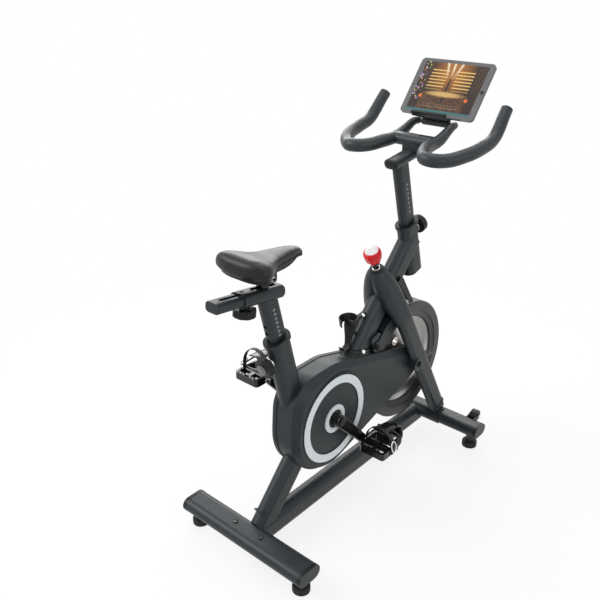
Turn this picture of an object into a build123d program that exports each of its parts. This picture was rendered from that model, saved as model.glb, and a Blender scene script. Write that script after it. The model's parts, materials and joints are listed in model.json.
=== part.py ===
from build123d import *
from math import sin, cos, asin, atan2, hypot, pi, degrees, radians
import os

os.makedirs("parts", exist_ok=True)

# Row frame: X forward to the handlebar, Y to the rider's left, Z up, origin on the floor.
# Driving dimensions, millimetres and degrees.
crank_x = -121.993
crank_z = 322.0
crank_length = 170.0
crank_drop = 46.6
pedal_y = 135.0
guard_big_r = 163.0
guard_face_r = 149.0
flywheel_r = 197.0
flywheel_z = 330.0
rim_clear = 23.35
flywheel_half = 30.5
seat_x = crank_x - 174.0
seat_z = 629.5
seat_angle = 75.4
seat_post_out = 133.0
head_x = crank_x + 397.0
head_z = 790.0
head_angle = 74.5
head_post_out = 183.0
post_long = 58.0
post_short = 32.0
post_wall = 3.0
tube_wall = 3.0
post_clear = 0.4
bush_wall = 3.6
stab_long = 68.0
stab_high = 40.0
front_half = 242.0
front_x = crank_x + 552.0
front_z = 70.0
rear_long = 80.0
rear_high = 42.0
rear_half = 225.0
rear_x = crank_x - 301.0
rear_z = 65.5
beam_high = 78.0
beam_wide = 50.0
beam_z = 51.0
strut_long = 76.0
strut_wide = 46.0
leg_long = 62.0
leg_wide = 32.0
leg_top_y = 54.0
leg_foot_y = 72.0
grip_r = 19.0
horn_r = 16.5
tablet_wide = 245.0
tablet_high = 184.0
tablet_thick = 9.0
tablet_tilt = 51.0
spindle_r = 8.5
running = 0.08
gap = 0.5
slide_travel = 30.0

# Sizes that follow from them.
sleeve_long = post_long + 2 * (post_clear + bush_wall + tube_wall)
sleeve_short = post_short + 2 * (post_clear + bush_wall + tube_wall)
bore_long = sleeve_long - 2 * tube_wall
bore_short = sleeve_short - 2 * tube_wall

# The wheel's centre is set by the clearance from its rim to the diagonal tube.
diag_lo = (crank_x + 92.0, 375.0)
diag_hi = (crank_x + 425.0, 737.0)
diag_long = 78.0
diag_wide = 50.0
diag_run = hypot(diag_hi[0] - diag_lo[0], diag_hi[1] - diag_lo[1])
dx = (diag_hi[0] - diag_lo[0]) / diag_run
dz = (diag_hi[1] - diag_lo[1]) / diag_run
wheel_off = diag_long / 2 + rim_clear + flywheel_r
flywheel_x = diag_lo[0] + (wheel_off + (flywheel_z - diag_lo[1]) * dx) / dz


def side(y):
    """Plane seen from the rider's right: local x forward, local y up, extruding towards -Y."""
    return Plane.XZ.offset(-y)


def across(x, z, ax, az, y=0.0):
    """Plane square to an axis in the side view; local x lies in the side view, local y along Y."""
    return Plane(origin=(x, y, z), x_dir=(az, 0, -ax), z_dir=(ax, 0, az))


def wrapped(circles):
    """Outline drawn tight round circles given counter-clockwise, each (x, z, r)."""
    count = len(circles)
    normals = []
    for i in range(count):
        x1, z1, r1 = circles[i]
        x2, z2, r2 = circles[(i + 1) % count]
        away = hypot(x2 - x1, z2 - z1)
        heading = atan2(z2 - z1, x2 - x1)
        normals.append(heading - pi / 2 + asin((r1 - r2) / away))
    with BuildSketch() as loop:
        with BuildLine():
            for i in range(count):
                x1, z1, r1 = circles[i]
                x2, z2, r2 = circles[(i + 1) % count]
                a = normals[i]
                b = normals[(i + 1) % count]
                turn = (b - a) % (2 * pi)
                start = (x1 + r1 * cos(a), z1 + r1 * sin(a))
                end = (x2 + r2 * cos(a), z2 + r2 * sin(a))
                Line(start, end)
                CenterArc((x2, z2), r2, degrees(a), degrees(turn))
        make_face()
    return loop.sketch


def oval_bar(x0, z0, x1, z1, long, short, y0=0.0, y1=0.0):
    """Flat-oval bar between two side-view points, long side in the side view."""
    run = hypot(hypot(x1 - x0, y1 - y0), z1 - z0)
    dx = (x1 - x0) / run
    dy = (y1 - y0) / run
    dz = (z1 - z0) / run
    plane = Plane(origin=(x0, y0, z0), x_dir=(dz, 0, -dx), z_dir=(dx, dy, dz))
    with BuildPart() as bar:
        with BuildSketch(plane):
            SlotOverall(long, short)
        extrude(amount=run)
    return bar.part


def cross_bar(x, z, long, high, y0, y1):
    """Flat-oval bar along Y, long side along X."""
    with BuildPart() as bar:
        with BuildSketch(side(y1)):
            with Locations((x, z)):
                SlotOverall(long, high)
        extrude(amount=y1 - y0)
    return bar.part


def rod(p, q, r):
    """Round rod between two points."""
    run = hypot(hypot(q[0] - p[0], q[1] - p[1]), q[2] - p[2])
    d = ((q[0] - p[0]) / run, (q[1] - p[1]) / run, (q[2] - p[2]) / run)
    with BuildPart() as bar:
        with BuildSketch(Plane(origin=p, z_dir=d)):
            Circle(r)
        extrude(amount=run)
    return bar.part


def fluted(r, flutes, depth, height, plane, start):
    """Grip knob with scalloped edge, standing on a plane."""
    with BuildPart() as knob:
        with BuildSketch(plane.offset(start)):
            Circle(r)
        extrude(amount=height)
        chamfer(knob.faces().sort_by(Axis(plane.origin, plane.z_dir))[-1].edges(), 2.5)
        with BuildSketch(plane.offset(start)):
            with PolarLocations(r + depth, flutes):
                Circle(depth * 2.0)
        extrude(amount=height, mode=Mode.SUBTRACT)
    return knob.part


def save(part, name):
    part.label = name
    export_step(part, "parts/" + name + ".step")


# Axis directions of the two adjusting posts, pointing down the tube.
seat_dx = cos(radians(seat_angle))
seat_dz = -sin(radians(seat_angle))
head_dx = cos(radians(head_angle))
head_dz = -sin(radians(head_angle))


def seat_at(d):
    return (seat_x + d * seat_dx, seat_z + d * seat_dz)


def head_at(d):
    return (head_x + d * head_dx, head_z + d * head_dz)


# Envelopes of the frame members, used to cut neighbours so that faces meet without overlap.
seat_len = 255.0
head_len = 172.0
sx1, sz1 = seat_at(seat_len)
hx1, hz1 = head_at(head_len)
seat_solid = oval_bar(seat_x, seat_z, sx1, sz1, sleeve_long, sleeve_short)
head_solid = oval_bar(head_x, head_z, hx1, hz1, sleeve_long, sleeve_short)
diag_solid = oval_bar(diag_lo[0], diag_lo[1], diag_hi[0], diag_hi[1], diag_long, diag_wide)
strut_hi = (crank_x - 100.0, 228.0)
strut_lo = (crank_x - 262.0, 48.0)
strut_solid = oval_bar(strut_hi[0], strut_hi[1], strut_lo[0], strut_lo[1], strut_long, strut_wide)
front_solid = cross_bar(front_x, front_z, stab_long, stab_high, -front_half, front_half)
rear_solid = cross_bar(rear_x, rear_z, rear_long, rear_high, -rear_half, rear_half)

# Seat tube with collar lip, pin boss and clear bore.
pin_down = 54.0
pin_r = 5.0
px, pz = seat_at(pin_down)
seat_back = Plane(origin=(px, 0, pz), z_dir=(seat_dz, 0, -seat_dx))
with BuildPart() as seat_tube:
    add(seat_solid)
    with BuildSketch(across(seat_x, seat_z, seat_dx, seat_dz)):
        SlotOverall(sleeve_long + 9, sleeve_short + 9)
    extrude(amount=9)
    with BuildSketch(seat_back):
        Circle(12)
    extrude(amount=sleeve_long / 2 + 8)
    with BuildSketch(across(seat_x, seat_z, seat_dx, seat_dz)):
        SlotOverall(bore_long, bore_short)
    extrude(amount=seat_len, mode=Mode.SUBTRACT)
    with BuildSketch(seat_back):
        Circle(pin_r + running)
    extrude(amount=sleeve_long, mode=Mode.SUBTRACT)
save(seat_tube.part, "seat_tube")

bush_len = 120.0
with BuildPart() as seat_bush:
    with BuildSketch(across(seat_x, seat_z, seat_dx, seat_dz)):
        SlotOverall(bore_long, bore_short)
    extrude(amount=bush_len)
    with BuildSketch(across(seat_x, seat_z, seat_dx, seat_dz)):
        SlotOverall(sleeve_long + 7, sleeve_short + 7)
    extrude(amount=-3)
    with BuildSketch(across(seat_x, seat_z, seat_dx, seat_dz).offset(-3)):
        SlotOverall(post_long + 2 * post_clear, post_short + 2 * post_clear)
    extrude(amount=bush_len + 3, mode=Mode.SUBTRACT)
    with BuildSketch(seat_back):
        Circle(pin_r + running)
    extrude(amount=sleeve_long, mode=Mode.SUBTRACT)
save(seat_bush.part, "seat_bush")

with BuildPart() as seat_pin:
    with BuildSketch(seat_back.offset(post_long / 2 + gap)):
        Circle(pin_r)
    extrude(amount=24)
    with BuildSketch(seat_back.offset(sleeve_long / 2 + 8 + gap)):
        Circle(11)
    extrude(amount=8)
    add(fluted(27, 9, 3, 20, seat_back, sleeve_long / 2 + 14))
    with BuildSketch(seat_back.offset(sleeve_long / 2 + 34)):
        Circle(15)
    extrude(amount=3)
save(seat_pin.part, "seat_pin")

# Seat post with its row of pin holes.
post_hidden = 150.0
tx, tz = seat_at(-seat_post_out)
seat_hole_step = 22.0
with BuildPart() as seat_post:
    with BuildSketch(across(tx, tz, seat_dx, seat_dz)):
        SlotOverall(post_long, post_short)
        SlotOverall(post_long - 2 * post_wall, post_short - 2 * post_wall, mode=Mode.SUBTRACT)
    extrude(amount=seat_post_out + post_hidden)
    for k in range(10):
        hx, hz = seat_at(pin_down - 110.0 + seat_hole_step * k)
        with BuildSketch(Plane(origin=(hx, 0, hz), z_dir=(seat_dz, 0, -seat_dx))):
            Circle(pin_r + 0.4)
        extrude(amount=post_long, mode=Mode.SUBTRACT)
post_raw = seat_post.part

# Fore and aft slider on top of the seat post: sleeve fixed to the post, bar inside it.
slope = -7.0
sl_x = crank_x - 222.0
sl_z = 771.0
ux = cos(radians(slope))
uz = sin(radians(slope))
sleeve_plane = Plane(origin=(sl_x, 0, sl_z), x_dir=(0, 1, 0), z_dir=(ux, 0, uz))
bar_wide = 46.0
bar_high = 27.0
slv_wall = 3.2
slv_back = -82.0
slv_front = 52.0
stem_r = 9.0
with BuildPart() as slider_sleeve:
    with BuildSketch(sleeve_plane.offset(slv_back)):
        RectangleRounded(bar_wide + 2 * (slv_wall + gap), bar_high + 2 * (slv_wall + gap), 15)
    extrude(amount=slv_front - slv_back)
    with BuildSketch(sleeve_plane.offset(slv_front)):
        RectangleRounded(bar_wide + 2 * (slv_wall + gap) - 4, bar_high + 2 * (slv_wall + gap) - 4, 13)
    extrude(amount=4)
    with BuildSketch(sleeve_plane.offset(slv_back)):
        RectangleRounded(bar_wide + 2 * gap, bar_high + 2 * gap, 12)
    extrude(amount=slv_front - slv_back, mode=Mode.SUBTRACT)
    up_plane = Plane(origin=(sl_x, 0, sl_z), x_dir=(ux, 0, uz), z_dir=(-uz, 0, ux))
    with BuildSketch(up_plane):
        SlotOverall(2 * slide_travel + 2 * stem_r + 3, 2 * stem_r + 1.5)
    extrude(amount=40, mode=Mode.SUBTRACT)
    with BuildSketch(up_plane):
        with Locations((slv_back + 12, 0)):
            Circle(4.5)
    extrude(amount=40, mode=Mode.SUBTRACT)
    with BuildSketch(up_plane):
        with Locations((slv_back + 24, 0)):
            Circle(6.0 + running)
    extrude(amount=-40, mode=Mode.SUBTRACT)
save(slider_sleeve.part, "slider_sleeve")

with BuildPart() as seat_post_cut:
    add(post_raw)
    with BuildSketch(sleeve_plane.offset(slv_back)):
        RectangleRounded(bar_wide + 2 * (slv_wall + gap), bar_high + 2 * (slv_wall + gap), 15)
    extrude(amount=slv_front - slv_back, mode=Mode.SUBTRACT)
    with BuildSketch(up_plane):
        Rectangle(400, 200)
    extrude(amount=90, mode=Mode.SUBTRACT)
save(seat_post_cut.part.solids().sort_by(SortBy.VOLUME)[-1], "seat_post")

bar_back = -160.67
bar_front = slv_front - slide_travel - 2.0
with BuildPart() as slider_bar:
    with BuildSketch(sleeve_plane.offset(bar_back)):
        RectangleRounded(bar_wide, bar_high, 11.5)
        RectangleRounded(bar_wide - 7, bar_high - 7, 8, mode=Mode.SUBTRACT)
    extrude(amount=bar_front - bar_back)
    with BuildSketch(up_plane):
        with Locations((bar_back + 52, 0)):
            SlotOverall(70, 11)
    extrude(amount=40, mode=Mode.SUBTRACT)
slider_tube = slider_bar.part

with BuildPart() as slider_cap:
    with BuildSketch(sleeve_plane.offset(bar_back - 4)):
        RectangleRounded(bar_wide, bar_high, 11.5)
    extrude(amount=4)
    chamfer(slider_cap.faces().sort_by(Axis.X)[0].edges(), 1.5)
    with BuildSketch(sleeve_plane.offset(bar_back)):
        RectangleRounded(bar_wide - 7, bar_high - 7, 8)
    extrude(amount=10)
with BuildPart() as slider_done:
    add(slider_tube)
    add(slider_cap.part)
save(slider_done.part, "slider_bar")

# Clamp knob under the sleeve.
down_plane = Plane(origin=(sl_x, 0, sl_z), x_dir=(ux, 0, uz), z_dir=(uz, 0, -ux))
knob_at = slv_back + 24
knob_plane = Plane(
    origin=(sl_x + knob_at * ux, 0, sl_z + knob_at * uz), x_dir=(0, 1, 0), z_dir=(uz, 0, -ux)
)
with BuildPart() as slider_knob:
    with BuildSketch(knob_plane.offset(bar_high / 2 + gap)):
        Circle(6.0)
    extrude(amount=16)
    with BuildSketch(knob_plane.offset(bar_high / 2 + slv_wall + 2 * gap)):
        Circle(13)
    extrude(amount=9)
    add(fluted(29, 8, 4, 20, knob_plane, bar_high / 2 + slv_wall + 2 * gap + 8))
save(slider_knob.part, "slider_knob")

# Saddle: clamp stem on the bar, then rails, shell and pad that tilt together.
tilt_h = 45.0
cl_x = sl_x - uz * tilt_h
cl_z = sl_z + ux * tilt_h
with BuildPart() as saddle_clamp:
    with BuildSketch(up_plane.offset(bar_high / 2)):
        Circle(stem_r)
    extrude(amount=tilt_h - bar_high / 2 - 4)
    with BuildSketch(up_plane.offset(bar_high / 2 + slv_wall + gap + 1.5)):
        Circle(16)
    extrude(amount=8)
    add(rod((cl_x, -13, cl_z), (cl_x, 13, cl_z), 12))
    add(rod((cl_x, -40, cl_z), (cl_x, 40, cl_z), 4))
save(saddle_clamp.part, "saddle_clamp")

rail_y = 22.0
rail_r = 3.6
with BuildPart() as saddle_rails:
    for s in (-1, 1):
        with BuildLine() as rail_line:
            Spline(
                (cl_x - 78, s * 44, cl_z + 27),
                (cl_x - 46, s * rail_y, cl_z + 12),
                (cl_x, s * rail_y, cl_z + 12),
                (cl_x + 46, s * rail_y, cl_z + 12),
                (cl_x + 111, s * 11, cl_z + 27),
            )
        with BuildSketch(Plane(origin=rail_line.line @ 0, z_dir=rail_line.line % 0)):
            Circle(rail_r)
        sweep(path=rail_line.line)
    for s in (-1, 1):
        with BuildSketch(side(s * rail_y + 7)):
            with Locations((cl_x, cl_z + 4)):
                RectangleRounded(34, 30, 6)
        extrude(amount=14)
        with BuildSketch(side(s * rail_y + 8)):
            with Locations((cl_x, cl_z)):
                Circle(4 + running)
        extrude(amount=16, mode=Mode.SUBTRACT)
save(saddle_rails.part, "saddle_rails")

# Plan of the saddle, row X measured from the clamp.
pad_back = cl_x - 93.5
pad_front = cl_x + 136.5
pad_z = cl_z + 30
with BuildPart() as saddle_shell:
    with BuildSketch(Plane.XY.offset(pad_z - 12)):
        with BuildLine():
            Spline((pad_back + 8, 0), (pad_back + 13, 50), (pad_back + 30, 76), (pad_back + 62, 60),
                   (pad_back + 100, 38), (pad_front - 52, 21), (pad_front - 14, 12), (pad_front - 6, 0),
                   tangents=((0, 1), (0, -1)))
            mirror(about=Plane.XZ)
        make_face()
    extrude(amount=14)
    with BuildSketch(Plane.XY.offset(pad_z - 12)):
        with BuildLine():
            Spline((pad_back + 13, 0), (pad_back + 18, 46), (pad_back + 31, 70), (pad_back + 60, 54),
                   (pad_back + 98, 33), (pad_front - 53, 17), (pad_front - 19, 8), (pad_front - 11, 0),
                   tangents=((0, 1), (0, -1)))
            mirror(about=Plane.XZ)
        make_face()
    extrude(amount=8, mode=Mode.SUBTRACT)
    add(saddle_rails.part, mode=Mode.SUBTRACT)
save(saddle_shell.part, "saddle_shell")

# Padded top, lofted through rounded sections: distance from the back, half width, height.
pad_sections = ((0.5, 38, 24), (12, 72, 36), (30, 86, 42), (55, 77, 41), (85, 54, 36),
                (130, 42, 30), (175, 29, 26), (215, 17, 20), (229.5, 8, 11))
with BuildPart() as saddle_pad:
    for back, half, high in pad_sections:
        with BuildSketch(Plane(origin=(pad_back + back, 0, pad_z + 2), x_dir=(0, 1, 0), z_dir=(1, 0, 0))):
            with BuildLine():
                Polyline((half, 0), (-half, 0))
                Spline((-half, 0), (-half * 0.97, high * 0.45), (-half * 0.62, high * 0.95),
                       (0, high * 0.94), (half * 0.62, high * 0.95), (half * 0.97, high * 0.45),
                       (half, 0))
            make_face()
    loft()
save(saddle_pad.part, "saddle_pad")

# Head tube, bush, post and pin.
head_pin_down = 38.0
qx, qz = head_at(head_pin_down)
head_front = Plane(origin=(qx, 0, qz), z_dir=(-head_dz, 0, head_dx))
with BuildPart() as head_tube:
    add(head_solid)
    with BuildSketch(across(head_x, head_z, head_dx, head_dz)):
        SlotOverall(sleeve_long + 9, sleeve_short + 9)
    extrude(amount=9)
    with BuildSketch(head_front):
        Circle(12)
    extrude(amount=sleeve_long / 2 + 8)
    with BuildSketch(across(head_x, head_z, head_dx, head_dz)):
        SlotOverall(bore_long, bore_short)
    extrude(amount=head_len, mode=Mode.SUBTRACT)
    with BuildSketch(head_front):
        Circle(pin_r + running)
    extrude(amount=sleeve_long, mode=Mode.SUBTRACT)
save(head_tube.part, "head_tube")

with BuildPart() as head_bush:
    with BuildSketch(across(head_x, head_z, head_dx, head_dz)):
        SlotOverall(bore_long, bore_short)
    extrude(amount=bush_len)
    with BuildSketch(across(head_x, head_z, head_dx, head_dz)):
        SlotOverall(sleeve_long + 7, sleeve_short + 7)
    extrude(amount=-3)
    with BuildSketch(across(head_x, head_z, head_dx, head_dz).offset(-3)):
        SlotOverall(post_long + 2 * post_clear, post_short + 2 * post_clear)
    extrude(amount=bush_len + 3, mode=Mode.SUBTRACT)
    with BuildSketch(head_front):
        Circle(pin_r + running)
    extrude(amount=sleeve_long, mode=Mode.SUBTRACT)
save(head_bush.part, "head_bush")

with BuildPart() as head_pin:
    with BuildSketch(head_front.offset(post_long / 2 + gap)):
        Circle(pin_r)
    extrude(amount=24)
    with BuildSketch(head_front.offset(sleeve_long / 2 + 8 + gap)):
        Circle(11)
    extrude(amount=8)
    add(fluted(27.5, 14, 1.5, 20, head_front, sleeve_long / 2 + 14))
    with BuildSketch(head_front.offset(sleeve_long / 2 + 34)):
        Circle(15)
    extrude(amount=3)
save(head_pin.part, "head_pin")

# Looped grips and the arms that carry the tablet: one tube line, thick at the loops.
tu = (cos(radians(tablet_tilt)), 0, sin(radians(tablet_tilt)))
tn = (-sin(radians(tablet_tilt)), 0, cos(radians(tablet_tilt)))
scr_x = crank_x + 566.0
scr_z = 1158.0
low_x = scr_x - tu[0] * tablet_high / 2
low_z = scr_z - tu[2] * tablet_high / 2
tilt_back = 15.0
tilt_down = 8.0
tilt_x = low_x - tn[0] * (tablet_thick + tilt_back) - tu[0] * tilt_down
tilt_z = low_z - tn[2] * (tablet_thick + tilt_back) - tu[2] * tilt_down
bar_x = crank_x + 410.0
bar_z = 1033.0
bar_y = 66.0


def tube_along(points, radii, start, finish):
    """Round tube through points whose radius changes; radii are (share of the length, radius)."""
    with BuildPart() as tube:
        with BuildLine() as line:
            Spline(*points, tangents=(start, finish))
        for share, radius in radii:
            with BuildSketch(Plane(origin=line.line @ share, z_dir=line.line % share)):
                Circle(radius)
        sweep(path=line.line, multisection=True)
    return tube.part


grips = []
arms = []
for s in (-1, 1):
    loop_points = [(bar_x, s * bar_y, bar_z), (crank_x + 356, s * 74, 1029), (crank_x + 313, s * 94, 1023),
                   (crank_x + 287, s * 122, 1022), (crank_x + 308, s * 161, 1020),
                   (crank_x + 357, s * 195, 1031), (crank_x + 430, s * 208, 1045),
                   (crank_x + 498, s * 208, 1074), (crank_x + 550, s * 204, 1127)]
    grips.append(tube_along(loop_points, ((0, 17.5), (0.2, grip_r), (0.6, grip_r), (0.82, 18.0), (1, horn_r)),
                            (-1, 0, -0.14), (0.66, -0.05 * s, 0.75)))
    arm_points = [(bar_x, s * bar_y, bar_z), (crank_x + 438, s * 67, 1039), (crank_x + 466, s * 66, 1050),
                  (crank_x + 492, s * 65.5, 1061), (tilt_x, s * 61, tilt_z)]
    arms.append(tube_along(arm_points, ((0, 17.5), (0.35, 15.5), (0.7, 12.5), (1, 11.0)),
                           (1, 0, 0.14), (1, -0.3 * s, -0.05)))

# Stem bar on the head post, with the crossbar above it.
stem_back = (crank_x + 299.0, 984.0)
stem_front = (crank_x + 440.0, 1004.0)
st_run = hypot(stem_front[0] - stem_back[0], stem_front[1] - stem_back[1])
st_ux = (stem_front[0] - stem_back[0]) / st_run
st_uz = (stem_front[1] - stem_back[1]) / st_run
stem_plane = Plane(origin=(stem_back[0], 0, stem_back[1]), x_dir=(0, 1, 0), z_dir=(st_ux, 0, st_uz))
stem_mid_z = (stem_back[1] + stem_front[1]) / 2
with BuildPart() as stem_bar:
    with BuildSketch(stem_plane):
        SlotOverall(46, 28)
    extrude(amount=st_run)
    with BuildSketch(Plane.XY.offset(bar_z)):
        with Locations((bar_x - 3, 0)):
            RectangleRounded(40, 58, 9)
    extrude(amount=stem_mid_z - bar_z)
    with BuildSketch(side(bar_y - 2)):
        with Locations((bar_x, bar_z)):
            SlotOverall(48, 34)
    extrude(amount=2 * (bar_y - 2))
    for k in range(2):
        add(grips[k], mode=Mode.SUBTRACT)
        add(arms[k], mode=Mode.SUBTRACT)
save(stem_bar.part.solids().sort_by(SortBy.VOLUME)[-1], "stem_bar")

wx, wz = head_at(-head_post_out)
with BuildPart() as head_post:
    with BuildSketch(across(wx, wz, head_dx, head_dz)):
        SlotOverall(post_long, post_short)
        SlotOverall(post_long - 2 * post_wall, post_short - 2 * post_wall, mode=Mode.SUBTRACT)
    extrude(amount=head_post_out + post_hidden)
    with BuildSketch(across(wx, wz, head_dx, head_dz)):
        SlotOverall(post_long, post_short)
        SlotOverall(post_long - 2 * post_wall, post_short - 2 * post_wall, mode=Mode.SUBTRACT)
    extrude(amount=-20)
    for k in range(10):
        hx, hz = head_at(head_pin_down - 110.0 + seat_hole_step * k)
        with BuildSketch(Plane(origin=(hx, 0, hz), z_dir=(-head_dz, 0, head_dx))):
            Circle(pin_r + 0.4)
        extrude(amount=post_long, mode=Mode.SUBTRACT)
    add(stem_bar.part, mode=Mode.SUBTRACT)
    with BuildSketch(Plane.XY.offset(1020)):
        with Locations((wx, 0)):
            Rectangle(400, 200)
    extrude(amount=-34, mode=Mode.SUBTRACT)
save(head_post.part.solids().sort_by(SortBy.VOLUME)[-1], "head_post")

for k, name in ((0, "grip_right"), (1, "grip_left")):
    save(grips[k], name)

# Cradle arms joined by the hinge rod.
with BuildPart() as tablet_arms:
    for k in range(2):
        add(arms[k])
    with BuildSketch(side(44)):
        with Locations((tilt_x, tilt_z)):
            Circle(14)
    extrude(amount=88, mode=Mode.SUBTRACT)
    add(rod((tilt_x, -64, tilt_z), (tilt_x, 64, tilt_z), 7))
save(tablet_arms.part, "tablet_arms")


def on_tablet(out, up):
    """Side-view point: out from the tablet's face, and up from its lower edge."""
    return (low_x + tn[0] * out + tu[0] * up, low_z + tn[2] * out + tu[2] * up)


tray_plane = Plane(origin=(low_x, 0, low_z), x_dir=(0, -1, 0), z_dir=tn)
with BuildPart() as cradle:
    with BuildSketch(tray_plane.offset(-tablet_thick - 0.3)):
        with Locations((0, 70)):
            RectangleRounded(70, 150, 8)
    extrude(amount=-4)
    with BuildSketch(side(51)):
        with BuildLine():
            Polyline(on_tablet(-tablet_thick - 4.3, -0.3), on_tablet(1, -0.3), on_tablet(20, -14),
                     on_tablet(22.5, -18.4), on_tablet(-1, -5), on_tablet(-tablet_thick - 4.3, -5),
                     close=True)
        make_face()
    extrude(amount=102)
    with BuildSketch(side(58)):
        with BuildLine():
            Polyline(on_tablet(19, -15), on_tablet(20.8, -18.8), on_tablet(34, -14.5),
                     on_tablet(36.8, -11.5), on_tablet(34.4, -9.4), close=True)
        make_face()
    extrude(amount=116)
    with BuildSketch(side(42)):
        with BuildLine():
            Polyline(on_tablet(-12.5, 5), on_tablet(-12.5, -5),
                     (tilt_x - tu[0] * 9, tilt_z - tu[2] * 9),
                     (tilt_x - tn[0] * 7, tilt_z - tn[2] * 7),
                     (tilt_x + tu[0] * 9, tilt_z + tu[2] * 9), close=True)
        make_face()
    extrude(amount=84)
    with BuildSketch(side(43)):
        with Locations((tilt_x, tilt_z)):
            Circle(10.5)
    extrude(amount=86)
    with BuildSketch(side(50)):
        with Locations((tilt_x, tilt_z)):
            Circle(7 + running)
    extrude(amount=100, mode=Mode.SUBTRACT)
save(cradle.part, "cradle")

tab_mid = Plane(origin=(scr_x, 0, scr_z), x_dir=(0, 1, 0), z_dir=tn)
with BuildPart() as tablet:
    with BuildSketch(tab_mid):
        RectangleRounded(tablet_wide, tablet_high, 12)
    extrude(amount=-tablet_thick)
    with BuildSketch(tab_mid):
        RectangleRounded(tablet_wide - 34, tablet_high - 22, 2)
    extrude(amount=-1.2, mode=Mode.SUBTRACT)
save(tablet.part, "tablet")
with BuildPart() as tablet_screen:
    with BuildSketch(tab_mid.offset(-1.2)):
        RectangleRounded(tablet_wide - 34, tablet_high - 22, 2)
    extrude(amount=1.2)
save(tablet_screen.part, "tablet_screen")

# Crank set: spindle, two arms, drive pulley.
arm_in = 68.0
arm_thick = 15.0
ring_y = -57.0
with BuildPart() as crank_spindle:
    with BuildSketch(side(arm_in + arm_thick)):
        with Locations((crank_x, crank_z)):
            Circle(spindle_r)
    extrude(amount=2 * (arm_in + arm_thick))

drop = radians(crank_drop)
pedal_half = 43.0
for s, name in ((-1, "crank_right"), (1, "crank_left")):
    ex = crank_x - s * crank_length * cos(drop)
    ez = crank_z + s * crank_length * sin(drop)
    with BuildPart() as arm:
        with BuildSketch(side(s * arm_in if s < 0 else arm_in + arm_thick)):
            add(wrapped([(crank_x, crank_z, 19.0), (ex, ez, 13.5)]))
        extrude(amount=arm_thick)
        chamfer(arm.faces().filter_by(Axis.Y).edges(), 2.5)
        with BuildSketch(side(s * arm_in if s < 0 else arm_in)):
            with Locations((crank_x, crank_z)):
                Circle(20)
        extrude(amount=s * 6)
        with BuildSketch(side(s * (arm_in + arm_thick))):
            with Locations((crank_x, crank_z)):
                Circle(12)
        extrude(amount=-s * 3)
        add(crank_spindle.part, mode=Mode.SUBTRACT if s < 0 else Mode.ADD)
        with BuildSketch(side(s * (arm_in + arm_thick - 1))):
            with Locations((ex, ez)):
                Circle(5)
        extrude(amount=-s * (pedal_y + pedal_half - 6 - arm_in - arm_thick + 1))
        with BuildSketch(side(s * (arm_in + arm_thick))):
            with Locations((ex, ez)):
                Circle(8.5)
        extrude(amount=-s * 4)
    save(arm.part, name)

belt_in = -33.5
belt_out = -42.5
pulley_r = 104.0
small_r = 27.0
with BuildPart() as drive_pulley:
    with BuildSketch(side(belt_in + 1)):
        with Locations((crank_x, crank_z)):
            Circle(pulley_r + 4)
            Circle(spindle_r, mode=Mode.SUBTRACT)
            with PolarLocations(62, 6):
                Circle(23, mode=Mode.SUBTRACT)
    extrude(amount=belt_in - belt_out + 2)
    with BuildSketch(side(belt_in)):
        with Locations((crank_x, crank_z)):
            Circle(pulley_r + 10)
            Circle(pulley_r, mode=Mode.SUBTRACT)
    extrude(amount=belt_in - belt_out, mode=Mode.SUBTRACT)
save(drive_pulley.part, "drive_pulley")

# Two-part flywheel: iron rim, light disc, and a small belt pulley on its hub.
axle_r = 9.4
rim_in = flywheel_r - 54.0
with BuildPart() as flywheel_rim:
    with BuildSketch(Plane.XZ):
        with BuildLine():
            Polyline((rim_in, -19), (rim_in + 4, -24), (rim_in + 20, 3 - flywheel_half),
                     (rim_in + 22, -flywheel_half), (flywheel_r - 4, -flywheel_half),
                     (flywheel_r, 4 - flywheel_half), (flywheel_r, flywheel_half - 4),
                     (flywheel_r - 4, flywheel_half), (rim_in + 22, flywheel_half),
                     (rim_in + 20, flywheel_half - 3), (rim_in + 4, 24), (rim_in, 19), close=True)
        make_face()
    revolve(axis=Axis.Z)
rim_raw = flywheel_rim.part
with BuildPart() as flywheel_disc:
    with BuildSketch(Plane.XZ):
        with BuildLine():
            Polyline((axle_r + running, -26), (34, -26), (38, -16), (60, -12), (rim_in - 14, -12),
                     (rim_in, -18), (rim_in, 18), (rim_in - 14, 12), (60, 12), (38, 16), (34, 26),
                     (axle_r + running, 26), close=True)
        make_face()
    revolve(axis=Axis.Z)
    with BuildSketch(Plane.XY.offset(-30)):
        with PolarLocations(rim_in - 52, 6):
            Circle(15)
    extrude(amount=60, mode=Mode.SUBTRACT)
disc_raw = flywheel_disc.part
with BuildPart() as small_pulley:
    with BuildSketch(Plane.XZ):
        with BuildLine():
            Polyline((axle_r + running, 26), (small_r + 4, 26), (small_r + 4, -belt_in - 1),
                     (small_r, -belt_in - 1), (small_r, -belt_out - 0.6), (small_r + 3, -belt_out - 0.6),
                     (small_r + 3, -belt_out - 0.1), (axle_r + running, -belt_out - 0.1), close=True)
        make_face()
    revolve(axis=Axis.Z)
pulley_raw = small_pulley.part
for raw, name in ((rim_raw, "flywheel_rim"), (disc_raw, "flywheel_disc"), (pulley_raw, "small_pulley")):
    placed = Pos(flywheel_x, 0, flywheel_z) * Rot(90, 0, 0) * raw
    save(placed, name)

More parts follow.
